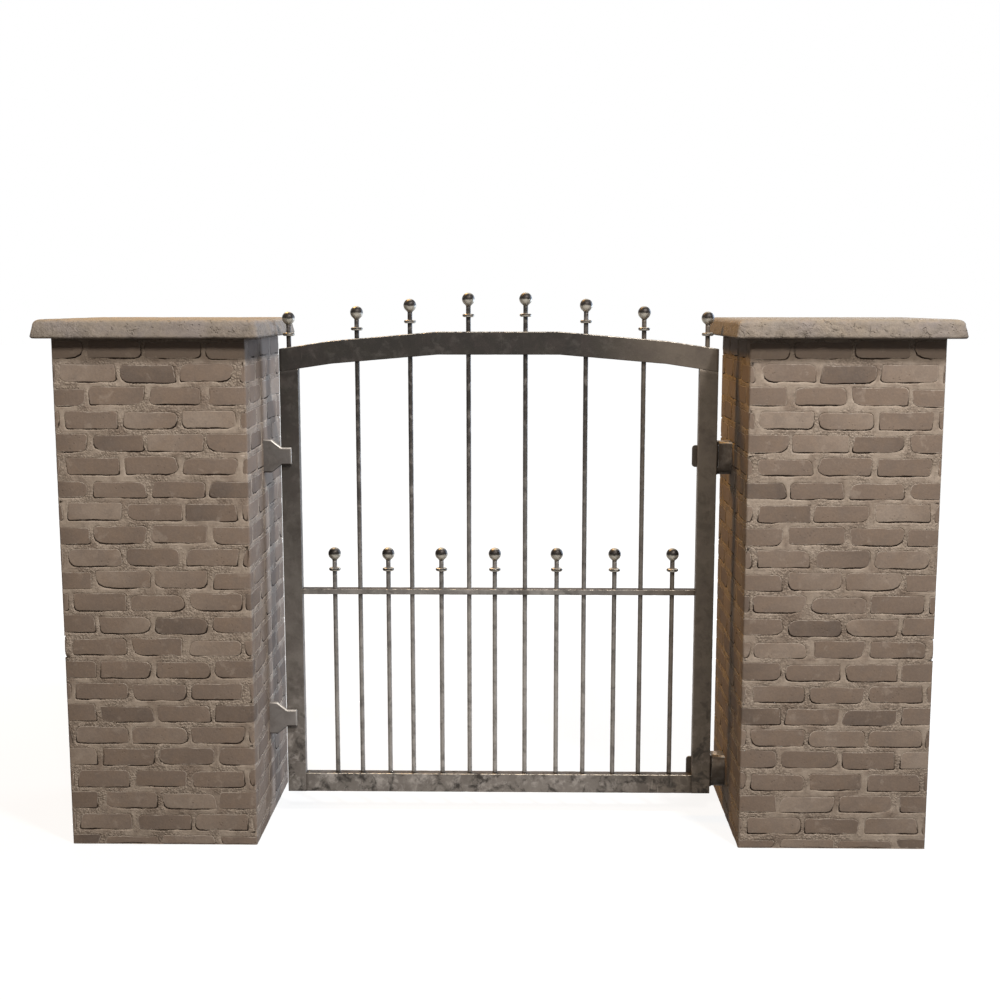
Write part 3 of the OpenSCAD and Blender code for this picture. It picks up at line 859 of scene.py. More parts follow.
# Depths below a pier's face: a mortar block's back and its ring under the brick, the core, and a
# brick's foot
BLOCK_BACK, BLOCK_UNDER, CORE_DEPTH, BRICK_FOOT = 0.014, 0.010, 0.013, 0.0095


def round_pier(s, side, radius):
    """Point and outward direction on a rounded square walked once round, centred on the origin.

    s counts along the sharp outline from its front left corner. Within one radius of a corner the
    point turns on a quarter circle, and elsewhere it lies on the straight side."""
    corners = np.array(((-1, -1), (1, -1), (1, 1), (-1, 1))) * side / 2
    normals = np.array(((0, -1), (1, 0), (0, 1), (-1, 0)))
    travel = np.array(((1, 0), (0, 1), (-1, 0), (0, -1)))
    nearest = np.round(s / side).astype(int)
    along = s - nearest * side
    j = nearest % 4
    before, after = normals[j - 1], normals[j]
    turn = np.radians(45 * (1 + np.clip(along / radius, -1, 1)))[..., None]
    out = np.cos(turn) * before + np.sin(turn) * after
    arc = corners[j] - radius * (before + after) + radius * out
    way = np.where(along[..., None] < 0, travel[j - 1], travel[j])
    straight = corners[j] + along[..., None] * way
    return np.where(np.abs(along[..., None]) < radius, arc, straight), out


def lay_on_pier(s, z, height, box, radius, mirror):
    """Points at the given heights off a pier's faces. A mirrored pier is walked the other way round."""
    low, high = box
    side = high[0] - low[0]
    flat, out = round_pier(s, side, radius)
    flat = flat + out * height[..., None]
    if mirror:
        flat = flat * (-1, 1)
    centre = (np.array(low) + np.array(high)) / 2
    return np.concatenate((flat + centre[:2], z[..., None]), -1)


def set_out_bricks(p, side, top, rng):
    """Every brick on a pier: its ends, edges, tone and the cell of wall that it shares with its mortar.

    Each course has the same number of bricks round the pier, every other one is shifted along by
    the bond, and each end and edge is moved a little by chance. A cell reaches to the middle of
    the joints round its brick."""
    courses = np.arange(-1, int((top - p.first_bed) / p.course) + 1)
    pitch = 4 * side / BRICKS_ROUND
    course, number = np.meshgrid(courses, np.arange(BRICKS_ROUND), indexing="ij")
    left = p.first_joint + (number + p.bond * (course % 2)) * pitch
    left = left + rng.uniform(-JOINT_OFF, JOINT_OFF, left.shape)
    right = np.roll(left, -1, axis=1) + 4 * side * (number == BRICKS_ROUND - 1)
    start = left + p.perpend / 2 + rng.uniform(-END_OFF, END_OFF, left.shape)
    end = right - p.perpend / 2 - rng.uniform(-END_OFF, END_OFF, left.shape)
    bed = p.first_bed + course * p.course
    low = bed + rng.uniform(-BED_OFF, BED_OFF, left.shape)
    high = low + p.brick_height + rng.uniform(-HEIGHT_SHORT, HEIGHT_OVER, left.shape)
    floor = bed - (p.course - p.brick_height) / 2
    bricks = {
        "left": left, "right": right, "start": start, "end": end,
        "low": np.maximum(low, FOOT_MORTAR), "high": np.minimum(high, top - HEAD_MORTAR),
        "floor": np.maximum(floor, 0), "roof": np.minimum(floor + p.course, top),
        "tone": np.clip(0.5 + TONE_SPREAD * rng.standard_normal(left.shape), 0, 1),
        "lift": rng.uniform(-p.proud, p.proud, left.shape),
        "tilt": rng.uniform(-p.proud, p.proud, left.shape),
    }
    bricks = {name: part.ravel() for name, part in bricks.items()}
    bricks["middle"] = (bricks["start"] + bricks["end"]) / 2
    bricks["length"] = bricks["end"] - bricks["start"]
    bricks["level"] = (bricks["low"] + bricks["high"]) / 2
    bricks["arris"] = np.round(bricks["middle"] / side) * side
    return bricks


def along_brick(s, b):
    """Place of s along each brick, from -1 at its start to 1 at its end."""
    return (s - b["middle"][:, None]) / b["length"][:, None] * 2


def brick_face(s, b, side):
    """How far each brick's face stands out at s: its lift, plus its tilt times the place along it."""
    tilted = b["tilt"][:, None] * np.clip(along_brick(s, b), -1, 1)
    return (b["lift"][:, None] + tilted) * off_arris(s, side)


def brick_outlines(b, p, rng):
    """Outlines of all bricks as two chains of eleven points, the lower and the upper one.

    Each corner is a quarter ellipse of its own size, the ends lean a little, and three points
    divide each long edge: evenly, or at a pier's arris and one radius either side of it."""
    start, end, turn_at = b["start"], b["end"], b["arris"]
    count, height = len(start), b["high"] - b["low"]
    reach = CORNER_LEAST + CORNER_MORE * rng.uniform(0, 1, (count, 4)) ** CORNER_RARITY
    wide = reach * height[:, None] * rng.uniform(*CORNER_WIDE, (count, 4))
    tall = np.minimum(reach * CORNER_TALL, CORNER_LIMIT) * height[:, None]
    turns = (turn_at - p.arris > start + TURN_MIN) & (turn_at + p.arris < end - TURN_MIN)
    room = np.stack((turn_at - p.arris - start, end - turn_at - p.arris), 1) - ARRIS_ROOM
    room = np.where(turns[:, None], np.maximum(room, CORNER_MIN), 1.0)
    wide = np.minimum(wide, np.tile(room, 2))
    joint = np.stack((start - b["left"], b["right"] - end), 1)
    lean = rng.uniform(-1, 1, (count, 2)) * np.minimum(p.slant, np.minimum(room, joint) / 3)
    bend, rise = 1 - np.sin(QUARTER), 1 - np.cos(QUARTER)
    turn = turn_at[:, None] + p.arris * np.array((-1, 0, 1))
    chains = []
    for edge, sign, k in ((b["low"], 1, 0), (b["high"], -1, 2)):
        first_s = (start + sign * lean[:, 0])[:, None] + wide[:, k, None] * rise
        first_z = edge[:, None] + sign * tall[:, k, None] * bend
        last_s = (end + sign * lean[:, 1])[:, None] - wide[:, k + 1, None] * rise[::-1]
        last_z = edge[:, None] + sign * tall[:, k + 1, None] * bend[::-1]
        from_s, to_s = first_s[:, -1:], last_s[:, :1]
        mid_s = np.where(turns[:, None], turn, from_s + (to_s - from_s) * np.array((0.25, 0.5, 0.75)))
        mid_z = edge[:, None] + rng.uniform(-EDGE_WAVE, EDGE_WAVE, (count, 3))
        chains.append(np.stack((np.hstack((first_s, mid_s, last_s)),
                                np.hstack((first_z, mid_z, last_z))), -1))
    return np.stack(chains, 1)


def split_edges(chains, first, last, parts):
    """The chains with each edge between two of their points cut into equal parts."""
    near, far = chains[..., first:last, :], chains[..., first + 1:last + 1, :]
    share = (np.arange(parts) / parts)[:, None]
    cuts = near[..., None, :] + (far - near)[..., None, :] * share
    cuts = cuts.reshape(*chains.shape[:2], -1, 2)
    return np.concatenate((chains[..., :first, :], cuts, chains[..., last:, :]), 2)


def close_ring(chains, left, right, level):
    """One ring from a lower and an upper chain, with a point half way up each end."""
    tips = np.stack((np.stack((right, level), -1), np.stack((left, level), -1)), 1)
    return np.concatenate((chains[:, 0], tips[:, :1], chains[:, 1, ::-1], tips[:, 1:]), 1)


def inward_ways(ring, b):
    """Unit directions from an outline to its brick's middle line, which stops short of the ends."""
    middle, level = b["middle"][:, None], b["level"][:, None]
    half = b["length"][:, None] / 2
    spine = middle + np.clip(ring[..., 0] - middle, SPINE_SHORT - half, half - SPINE_SHORT)
    ways = np.stack((spine - ring[..., 0], level - ring[..., 1]), -1)
    return ways / np.linalg.norm(ways, axis=-1, keepdims=True)


def off_arris(s, side):
    """0 at a pier's arris, rising to 1 a little way from it, so that the arrises stay straight."""
    return smooth_step(np.abs(s - side * np.round(s / side)), *ARRIS_BLEND)


def crevice_shade_share(ring, ways, seed):
    """How much painted crevice shade lies along an outline: most under the brick, some at its ends and
    little above.
    """
    share = CREVICE_SHADE_LEAST + CREVICE_SHADE_UNDER * np.clip(ways[..., 1], 0, 1) + CREVICE_SHADE_ENDS * np.abs(ways[..., 0])
    place = np.stack((ring[..., 0], 0 * ring[..., 0], ring[..., 1]), -1)
    patchy = smooth_step(layered_noise(place, PATCH_WIDE, seed), -0.70, 0.30)
    return np.clip(share, 0, 1) * (PATCH_LEAST + (1 - PATCH_LEAST) * patchy)


def mortar_part(p, b, chains, box, mirror):
    """The mortar round every brick, one closed block for each, and a plain core behind them."""
    blocks = mortar_blocks(p, b, chains, box, mirror)
    side = box[1][0] - box[0][0]
    around = np.linspace(0, 4 * side, CORE_STOPS, endpoint=False)
    s, z = np.meshgrid(around, (box[0][2], box[1][2]))
    core = lay_on_pier(s, z, np.full(s.shape, -CORE_DEPTH), box, p.arris, mirror)
    return join_parts([blocks, grid_part(core, ends="polygon")])


def mortar_blocks(p, b, chains, box, mirror):
    """The closed blocks of mortar, one round each brick.

    Seven rings make a block: the cell's edge at its back and at its face, one just inside it that
    keeps the face flat, one half way to the brick, the lip and the bottom of the groove along the
    brick, and one under the brick. The face lies behind the brick faces by the recess, with lumps
    from noise of two sizes. Where there is no painted crevice shade the groove closes, and the
    mortar runs up flush to the brick's shoulder."""
    side = box[1][0] - box[0][0]
    fine = split_edges(chains, 3, 7, FINE_PARTS)
    edge = fine.copy()
    edge[:, 0, :, 1], edge[:, 1, :, 1] = b["floor"][:, None], b["roof"][:, None]
    edge[..., :3, 0], edge[..., -3:, 0] = b["left"][:, None, None], b["right"][:, None, None]
    for first, second, corner in ((0, 1, 2), (-1, -2, -3)):
        edge[..., first, 1] = fine[..., first, 1]
        edge[..., second, 1] = (fine[..., first, 1] + edge[..., corner, 1]) / 2
    ring = close_ring(fine, b["start"], b["end"], b["level"])
    cell = close_ring(edge, b["left"], b["right"], b["level"])
    ways = inward_ways(ring, b)
    dirt = crevice_shade_share(ring, ways, p.seed + CREVICE_SHADE_SEED) * off_arris(ring[..., 0], side)
    reach = np.linalg.norm(cell - ring, axis=-1)
    wide = p.lip * (LIP_CLEAN + LIP_CREVICE * dirt)
    lip = ring - ways * np.minimum(wide, LIP_MOST * reach)[..., None]
    first = np.stack((b["left"], b["floor"]), -1)[:, None]
    last = np.stack((b["right"], b["roof"]), -1)[:, None]
    lip = np.clip(lip, first + LIP_HELD * (ring - first), last - LIP_HELD * (last - ring))
    dug = np.minimum(p.lip * GROOVE_WIDE, GROOVE_MOST * reach) * dirt
    groove = ring - ways * (dug - CLEAN_LAP * (1 - dirt))[..., None]
    gap = np.linalg.norm(lip - cell, axis=-1, keepdims=True)
    near = cell + (lip - cell) * np.minimum(FLAT_REACH / np.maximum(gap, 1e-6), FLAT_MOST)
    flat = np.stack((cell, cell, near, (cell + lip) / 2, lip, groove, ring + UNDER_LAP * ways), 1)
    s, z = flat[..., 0], flat[..., 1]
    place = lay_on_pier(s, z, np.zeros_like(s), box, p.arris, False)
    lumps = sum(soft_noise(place, wide, p.seed + k) * high for k, (high, wide) in enumerate(LUMPS))
    recess = p.recess * (0.6 + 0.4 * soft_noise(place, RECESS_WIDE, p.seed + len(LUMPS)))
    depth = (lumps - recess) * off_arris(s, side)
    shoulder = brick_face(ring[..., 0], b, side) - CLEAN_LAP
    depth[:, 4] = 0.5 * (depth[:, 4] + shoulder) + 0.5 * dirt * (depth[:, 4] - shoulder)
    depth[:, 5] = shoulder + dirt * (depth[:, 5] - shoulder - p.groove)
    depth[:, 0], depth[:, 6] = -BLOCK_BACK, -BLOCK_UNDER
    under = np.zeros_like(depth)
    # Painted shade: the under mark darkens the lip a little, and the groove and the ring under the
    # brick in full.
    under[:, 4], under[:, 5], under[:, 6] = LIP_SHADE * dirt, dirt, dirt
    return ring_stacks(lay_on_pier(s, z, depth, box, p.arris, mirror), under=under)


def ring_stacks(points, **marks):
    """Many closed surfaces at once, each a stack of rings with a flat polygon at either end."""
    count, rows, cols = points.shape[:3]
    row, col = np.arange(rows - 1)[:, None] * cols, np.arange(cols)[None]
    ahead = (col + 1) % cols
    band = np.stack((row + col, row + ahead, row + cols + ahead, row + cols + col), -1).reshape(-1, 4)
    ends = (np.arange(cols)[None, ::-1], (rows - 1) * cols + np.arange(cols)[None])
    steps = np.arange(count)[:, None, None] * rows * cols
    return outward({
        "points": points.reshape(-1, 3),
        "faces": [(f[None] + steps).reshape(-1, f.shape[1]) for f in (band, *ends)],
        "marks": {name: mark.ravel() for name, mark in marks.items()},
    })


def brick_part(p, b, chains, box, mirror, rng):
    """Every brick of a pier as a closed pillow: a foot ring sunk in the mortar, a shoulder ring on
    the outline, two rings drawn in towards the middle line, and a row between the two chains."""
    side = box[1][0] - box[0][0]
    count, _, length, _ = chains.shape
    ring = close_ring(chains, b["start"], b["end"], b["level"])
    ways = inward_ways(ring, b)
    dirt = crevice_shade_share(ring, ways, p.seed + CREVICE_SHADE_SEED) * off_arris(ring[..., 0], side)
    crown = ring + CROWN * ways
    row = (crown[:, 1:length - 1] + crown[:, length + 1:-1][:, ::-1][:, 1:-1]) / 2
    flat = np.concatenate((ring, ring, ring + HEM * ways, crown, row), 1)
    away = off_arris(flat[..., 0], side)
    rough = rng.uniform(-FACE_ROUGH, FACE_ROUGH, flat.shape[:2])
    lift = brick_face(flat[..., 0], b, side) + rough * away
    around = ring.shape[1]
    lift[:, :around] = -BRICK_FOOT
    drop = (SHOULDER_DROP + CREVICE_DROP * dirt) * away[:, :around]
    lift[:, around:2 * around] = brick_face(ring[..., 0], b, side) - drop
    lift[:, 2 * around:3 * around] -= HEM_DROP * drop
    points = lay_on_pier(flat[..., 0], flat[..., 1], lift, box, p.arris, mirror)
    slope = rng.uniform(-TONE_SLOPE, TONE_SLOPE, (count, 1))
    tone = b["tone"][:, None] + slope * along_brick(flat[..., 0], b)
    tone = tone + rng.uniform(-TONE_SPECK, TONE_SPECK, flat.shape[:2])
    inner = np.zeros((count, flat.shape[1] - 3 * around))
    # Painted shade: the under mark darkens the foot, shoulder and hem rings, most under the brick.
    under = np.concatenate((dirt, 0.8 * dirt, 0.6 * dirt, inner), 1)
    fade = np.concatenate((np.ones_like(dirt), 1 - 0.7 * dirt, 0.8 - 0.6 * dirt, inner), 1)
    fade[:, 3 * around:4 * around] = CROWN_FADE
    steps = np.arange(count)[:, None, None] * flat.shape[1]
    return outward({
        "points": points.reshape(-1, 3),
        "faces": [(f[None] + steps).reshape(-1, f.shape[1]) for f in pillow_faces(length)],
        "marks": {"tone": np.clip(tone, 0, 1).ravel(), "under": under.ravel(), "fade": fade.ravel()},
    })


def pillow_faces(length):
    """Faces of one brick whose chains have the given length: three bands between its four rings, two
    strips that meet on the row between them, and a polygon under the foot ring."""
    around = 2 * length + 2
    here = np.arange(around)
    ahead = (here + 1) % around
    faces = [np.stack((here + k, ahead + k, ahead + k + around, here + k + around), -1)
             for k in (0, around, 2 * around)]
    crown = 3 * around
    lower = crown + np.arange(length)
    upper = crown + 2 * length - np.arange(length)
    inner = crown + around + np.arange(length - 2)
    row = np.concatenate(((crown + around - 1,), inner, (crown + length,)))
    for first, second in ((lower, row), (row, upper)):
        faces.append(np.stack((first[:-1], first[1:], second[1:], second[:-1]), -1))
    return [np.vstack(faces), here[None, ::-1]]


class GATE_OT_lay_piers(bpy.types.Operator):
    """Lay the mortar and the worn bricks of both piers"""
    bl_idname = "gate.lay_piers"
    bl_label = "Lay Piers"

    def execute(self, context):
        p = context.scene.gate_piers
        brick, mortar = brick_finish(p), mortar_finish(p)
        for side, mirror in (("left", False), ("right", True)):
            node = side + "_pier"
            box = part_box(node)
            rng = np.random.default_rng(p.seed)
            b = set_out_bricks(p, box[1].x - box[0].x, box[1].z, rng)
            chains = brick_outlines(b, p, rng)
            make_piece(side + "_mortar", mortar_part(p, b, chains, box, mirror), mortar, "piers",
                       node)
            make_piece(side + "_bricks", brick_part(p, b, chains, box, mirror, rng), brick, "piers",
                       node)
        return {"FINISHED"}


# ---------------------------------------------------------------- capstones

# Points on each ring of a capstone, and the capstones' random seeds
CAP_STOPS = 4 * 110
CAP_SEEDS = {"left_capstone": 21, "right_capstone": 43}
# Depth of the fine wear all over a capstone
FINE_WEAR = 0.0006
# Widths of the hollows, the fine wear, the chips and the bleached patches
HOLLOW_WIDE, FINE_WIDE, CHIP_WIDE, BLEACH_WIDE = 0.075, 0.016, 0.045, 0.12
# How readily the upper and lower faces wear beside the sides
LEVEL_WEAR = 0.7


def capstone_profile(p, side, thick):
    """Insets, heights, edge marks and bleaching of a capstone's rings: four on its underside, then
    round the lower edge, up the side, round the upper edge and in to the middle of its top.

    The four run from the outermost in, so the faces from them out to the lower edge lie over them."""
    turn = np.radians(np.linspace(0, 90, 6))
    under = [(side / 2 * share, 0.0, 0.0, 0.0) for share in (0.12, 0.3, 0.6, 0.96)]
    lower = [(p.foot * (1 - math.sin(a)), p.foot * (1 - math.cos(a)), 1.0, 0.0) for a in turn]
    span = thick - p.edge - p.foot
    lean = p.batter * span / thick
    sides = [(lean * t, p.foot + span * t, 0.6 * abs(2 * t - 1), 0.0)
             for t in np.linspace(0, 1, 8)[1:-1]]
    upper = [(lean + p.edge * (1 - math.cos(a)), thick - p.edge * (1 - math.sin(a)), 1.0,
              math.sin(a) ** 3) for a in turn]
    rest = side / 2 - lean - p.edge
    top = [(lean + p.edge + rest * share, thick, math.exp(-share * 30), 1.0)
           for share in (0.02, 0.05, 0.09, 0.14, 0.2, 0.28, 0.38, 0.5, 0.64, 0.78, 0.9, 0.97)]
    return np.array(under + lower + sides + upper + top).T[..., None]


def cast_capstone(p, box, seed):
    """A slab with leaning sides: rings of a rounded square carried along its profile.

    Every point is then drawn inwards by slow hollows, fine wear and chips near the edges."""
    low, high = np.array(box[0]), np.array(box[1])
    side, thick = high[0] - low[0], high[2] - low[2]
    inset, lift, edge, bleached = capstone_profile(p, side, thick)
    flat, out = round_pier(np.linspace(0, 4 * side, CAP_STOPS, endpoint=False), side, p.corner)
    share = 1 - inset[..., None] / (side / 2)
    heights = np.broadcast_to(lift[..., None], (len(inset), len(flat), 1))
    shape = np.concatenate((flat[None] * share, heights), -1)
    shape = shape + (low + high) * (0.5, 0.5, 0) + (0, 0, low[2])
    slope = np.zeros_like(shape)
    slope[..., :2] = out
    outwards = (shape - (low + high) / 2) / (side / 2, side / 2, thick / 2)
    shaded = 1 - smooth_step((shape[..., 2] - low[2]) / thick, 0.05, 0.75)
    facing = slope * smooth_step(np.abs(outwards[..., :2]).max(-1), 0.80, 0.90)[..., None]
    facing[..., 2] = np.clip(outwards[..., 2], -1, 1) * LEVEL_WEAR
    wear = p.wear * (0.5 + 0.5 * layered_noise(shape, HOLLOW_WIDE, seed))
    wear = wear + FINE_WEAR * (0.5 + 0.5 * soft_noise(shape, FINE_WIDE, seed + 5))
    chipped = smooth_step(layered_noise(shape, CHIP_WIDE, seed + 9), 0.42, 0.85) * edge
    worn = shape - facing * (np.clip(wear, 0, None) + p.chips * chipped)[..., None]
    worn = np.clip(worn, low, high)
    tint = bleached * (0.7 + 0.3 * soft_noise(shape, BLEACH_WIDE, seed + 3))
    return grid_part(worn, upper=np.clip(tint, 0, 1), lower=shaded)


class GATE_OT_cast_capstones(bpy.types.Operator):
    """Cast the two capstones with worn and chipped edges"""
    bl_idname = "gate.cast_capstones"
    bl_label = "Cast Capstones"

    def execute(self, context):
        p = context.scene.gate_caps
        stone = stone_finish(p)
        for node, seed in CAP_SEEDS.items():
            make_piece(node.replace("capstone", "cap"), cast_capstone(p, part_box(node), seed),
                       stone, "piers", node)
        return {"FINISHED"}


# ---------------------------------------------------------------- leaf

# Directions to the right, to the back and upwards
RIGHT, BACK, UP = np.eye(3)
# Points of a flat as shares of its width, and the edge mark there and round an arris
FLAT_POINTS = np.array((0.03, 0.12, 0.35, 0.65, 0.88, 0.97))
FLAT_MARK, ARRIS_MARK = (0.4, 0.1, 0, 0, 0.1, 0.4), (0.7, 0.95, 1.0, 0.95, 0.7)
# Widths of the dents in the flats, the nicks in the arrises and the dents in the rods
DENT_WIDE, NICK_WIDE, ROD_DENT_WIDE = 0.045, 0.014, 0.016
# Depth of the dents in the rods
ROD_DENTS = 0.0003
# Random seeds: the frame's, and the first bar's with the step from bar to bar
FRAME_SEED, ROD_SEED, ROD_SEED_STEP = 3, 100, 11


def worn_section(width, depth, radius):
    """A rounded rectangle as one closed ring, with its outward directions and its edge mark.

    Each corner is a quarter circle in four steps, and each flat has points close to both its ends."""
    angles = np.radians(np.linspace(0, 90, len(ARRIS_MARK)))
    points, ways, edge = [], [], []
    half = np.array((width / 2 - radius, depth / 2 - radius))
    signs = np.array(((1, 1), (-1, 1), (-1, -1), (1, -1)))
    for k, sign in enumerate(signs):
        way = np.stack((np.cos(angles + k * math.pi / 2), np.sin(angles + k * math.pi / 2)), -1)
        arc = half * sign + radius * way
        start, stop = arc[-1], half * signs[(k + 1) % 4] + radius * way[-1]
        points += [arc, start + FLAT_POINTS[:, None] * (stop - start)]
        ways += [way, np.repeat(way[-1:], len(FLAT_POINTS), 0)]
        edge += [ARRIS_MARK, FLAT_MARK]
    return np.vstack(points), np.vstack(ways), np.concatenate(edge)


def carry_section(path, across, up, width, depth, p, shear=None):
    """A rounded rectangle carried along a path, its ends drawn in on a quarter circle.

    Slow noise dents the flats, and the edges lose nicks where quick noise is high: both only
    take metal away. shear moves each point along the path by its place across the section."""
    section, ways, edge = worn_section(width, depth, p.arris)
    drawn = p.seam * (1 - np.sin(QUARTER[:-1]))
    step = p.seam * (1 - np.cos(QUARTER[:-1]))
    along = (path[1] - path[0]) / np.linalg.norm(path[1] - path[0])
    back = (path[-1] - path[-2]) / np.linalg.norm(path[-1] - path[-2])
    path = np.vstack((path[0] + along * step[:, None], path[1:-1], path[-1] - back * step[::-1, None]))
    inset = np.concatenate((drawn, np.zeros(len(path) - 2 * len(drawn)), drawn[::-1]))[:, None]
    a = section[:, 0] * (1 - inset * 2 / width)
    b = section[:, 1] * (1 - inset * 2 / depth)
    points = path[:, None] + a[..., None] * across + b[..., None] * up
    if shear is not None:
        points = points + shear(points)
    normal = ways[:, :1] * across + ways[:, 1:] * up
    mark = np.broadcast_to(edge, a.shape)
    dent = p.dents * (0.5 + 0.5 * layered_noise(points, DENT_WIDE, FRAME_SEED))
    nicked = smooth_step(layered_noise(points, NICK_WIDE, FRAME_SEED + 7), 0.25, 0.9)
    nick = p.nicks * nicked * mark
    points = points - normal * (np.clip(dent, 0, None) + nick)[..., None]
    return grid_part(points, ends="polygon", worn=mark)


def stations(start, stop, spacing, keep=()):
    """Even stops from start to stop no further apart than the spacing, with some kept exactly."""
    marks = [start, *keep, stop]
    runs = [np.linspace(a, b, max(2, math.ceil((b - a) / spacing) + 1))[:-1]
            for a, b in zip(marks, marks[1:])]
    return np.append(np.concatenate(runs), stop)


def rail_outline():
    """Stops of the top rail along X, with the heights of its upper and lower edge at each."""
    points = np.array([v.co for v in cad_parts["top_rail"].data.vertices])
    front = points[points[:, 1] < points[:, 1].min() + 1e-5]
    stops = np.unique(np.round(front[:, 0], 5))
    near = [front[np.abs(front[:, 0] - x) < 1e-4][:, 2] for x in stops]
    return stops, np.array([z.max() for z in near]), np.array([z.min() for z in near])


def upright_member(node, p, rail):
    """A stile: a rounded rectangle carried up from its foot, its head cut to the top rail's slope."""
    low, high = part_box(node)
    stops, _, under = rail
    centre = np.array((low + high) / 2)
    width, depth = high.x - low.x, high.y - low.y
    foot, head = low.z, float(np.interp(centre[0], stops, under))
    z = stations(foot, head, p.station)
    path = np.stack((np.full_like(z, centre[0]), np.full_like(z, centre[1]), z), -1)

    def to_slope(points):
        """The rise of the rail's underside at each point, in full at the head and none at the foot."""
        rise = np.interp(points[..., 0], stops, under) - head
        share = (points[..., 2] - foot) / (head - foot)
        return np.stack((0 * rise, 0 * rise, rise * share), -1)

    return carry_section(path, RIGHT, BACK, width, depth, p, to_slope)


def level_member(node, p):
    """The bottom or middle rail: a rounded rectangle carried from stile to stile."""
    low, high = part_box(node)
    centre = np.array((low + high) / 2)
    x = stations(low.x, high.x, p.station)
    path = np.stack((x, np.full_like(x, centre[1]), np.full_like(x, centre[2])), -1)
    return carry_section(path, BACK, UP, high.y - low.y, high.z - low.z, p)


def arched_member(p, rail):
    """The top rail: an upright section carried along five straight runs, up and down with them."""
    low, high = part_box("top_rail")
    stops, over, under = rail
    x = stations(stops[0], stops[-1], p.station, keep=stops[1:-1])
    z = (np.interp(x, stops, over) + np.interp(x, stops, under)) / 2
    path = np.stack((x, np.full_like(x, (low.y + high.y) / 2), z), -1)
    return carry_section(path, BACK, UP, high.y - low.y, over[0] - under[0], p)


class GATE_OT_weld_frame(bpy.types.Operator):
    """Weld up the leaf's two stiles and three rails"""
    bl_idname = "gate.weld_frame"
    bl_label = "Weld Frame"

    def execute(self, context):
        p = context.scene.gate_leaf
        steel = steel_finish("frame_steel", p, p.steel_lit_low)
        rail_steel = steel_finish("rail_steel", p, p.bars_lit_low, wear=0.2, scuffs=0.0, mottle=0.3,
                                  fall=0.4)
        rail = rail_outline()
        parts = {node: upright_member(node, p, rail) for node in ("hinge_stile", "catch_stile")}
        parts |= {node: level_member(node, p) for node in ("bottom_rail", "middle_rail")}
        parts["top_rail"] = arched_member(p, rail)
        for node, part in parts.items():
            finish = rail_steel if node == "middle_rail" else steel
            make_piece("worn_" + node, part, finish, "leaf", node)
        return {"FINISHED"}


def turned_rod(low, high, spacing, seed, steps=14):
    """A round rod: circles carried up its axis, each point drawn in a little by noise."""
    radius = (high[0] - low[0]) / 2
    centre = (np.array(low) + np.array(high)) / 2
    z = stations(low[2], high[2], spacing)[:, None]
    angle = np.linspace(0, 2 * math.pi, steps, endpoint=False)
    points = np.stack((centre[0] + radius * np.cos(angle) + 0 * z,
                       centre[1] + radius * np.sin(angle) + 0 * z, z + 0 * angle), -1)
    depth = ROD_DENTS * (0.5 + 0.5 * layered_noise(points, ROD_DENT_WIDE, seed))
    way = np.stack((np.cos(angle), np.sin(angle), 0 * angle), -1)
    worn = smooth_step(depth / ROD_DENTS, 0.2, 0.75)
    return grid_part(points - way * np.clip(depth, 0, None)[..., None], worn=0.75 - 0.75 * worn)


def rod_nodes():
    """Names of the bars and end stems."""
    return sorted(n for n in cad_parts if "_bar_" in n or n.endswith("_stem"))


class GATE_OT_set_bars(bpy.types.Operator):
    """Set the round bars and the two end stems into the frame"""
    bl_idname = "gate.set_bars"
    bl_label = "Set Bars"

    def execute(self, context):
        p = context.scene.gate_leaf
        steel = steel_finish("bar_steel", p, p.bars_lit_low, metal=0.3, wear=0.3, gloss=0.42, scuffs=0.0,
                             mottle=0.35, fall=0.34)
        for k, node in enumerate(rod_nodes()):
            part = turned_rod(*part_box(node), p.station * 0.8, ROD_SEED + ROD_SEED_STEP * k)
            make_piece("forged_" + node, part, steel, "leaf", node)
        return {"FINISHED"}


# ---------------------------------------------------------------- balls and collars

# Depth of the neck's start below a ball's middle as a share of the radius, and the angle down to it
NECK_SHARE = 0.8
NECK_ANGLE = math.asin(NECK_SHARE)
# Rings of a ball and of its neck
BALL_RINGS, NECK_RINGS = 19, 5
# Width of the dents left by turning, and their depth on balls and on collars
TURN_WIDE, BALL_DENTS, COLLAR_DENTS = 0.012, 0.0006, 0.0004
# Width of a collar's flat beside the bar
COLLAR_FLAT = 0.004
# Random seeds of the first ball and the first collar
BALL_SEED, COLLAR_SEED = 300, 400


def lathe(radii, heights, centre, steps, closed=False, dents=0.0, seed=0, **marks):
    """A profile of radii and heights turned round an upright axis, drawn in a little by noise."""
    angle = np.linspace(0, 2 * math.pi, steps, endpoint=False)
    radii, heights = np.asarray(radii)[:, None], np.asarray(heights)[:, None]
    points = np.stack((radii * np.cos(angle), radii * np.sin(angle), heights + 0 * angle), -1) + centre
    depth = dents * np.clip(0.5 + 0.5 * layered_noise(points, TURN_WIDE, seed), 0, 1)
    way = np.stack((np.cos(angle), np.sin(angle), 0 * angle), -1)
    near = np.minimum(1, radii / 0.004)[..., None]
    return grid_part(points - way * near * depth[..., None], closed_rows=closed,
                     **{name: np.asarray(mark)[:, None] for name, mark in marks.items()})


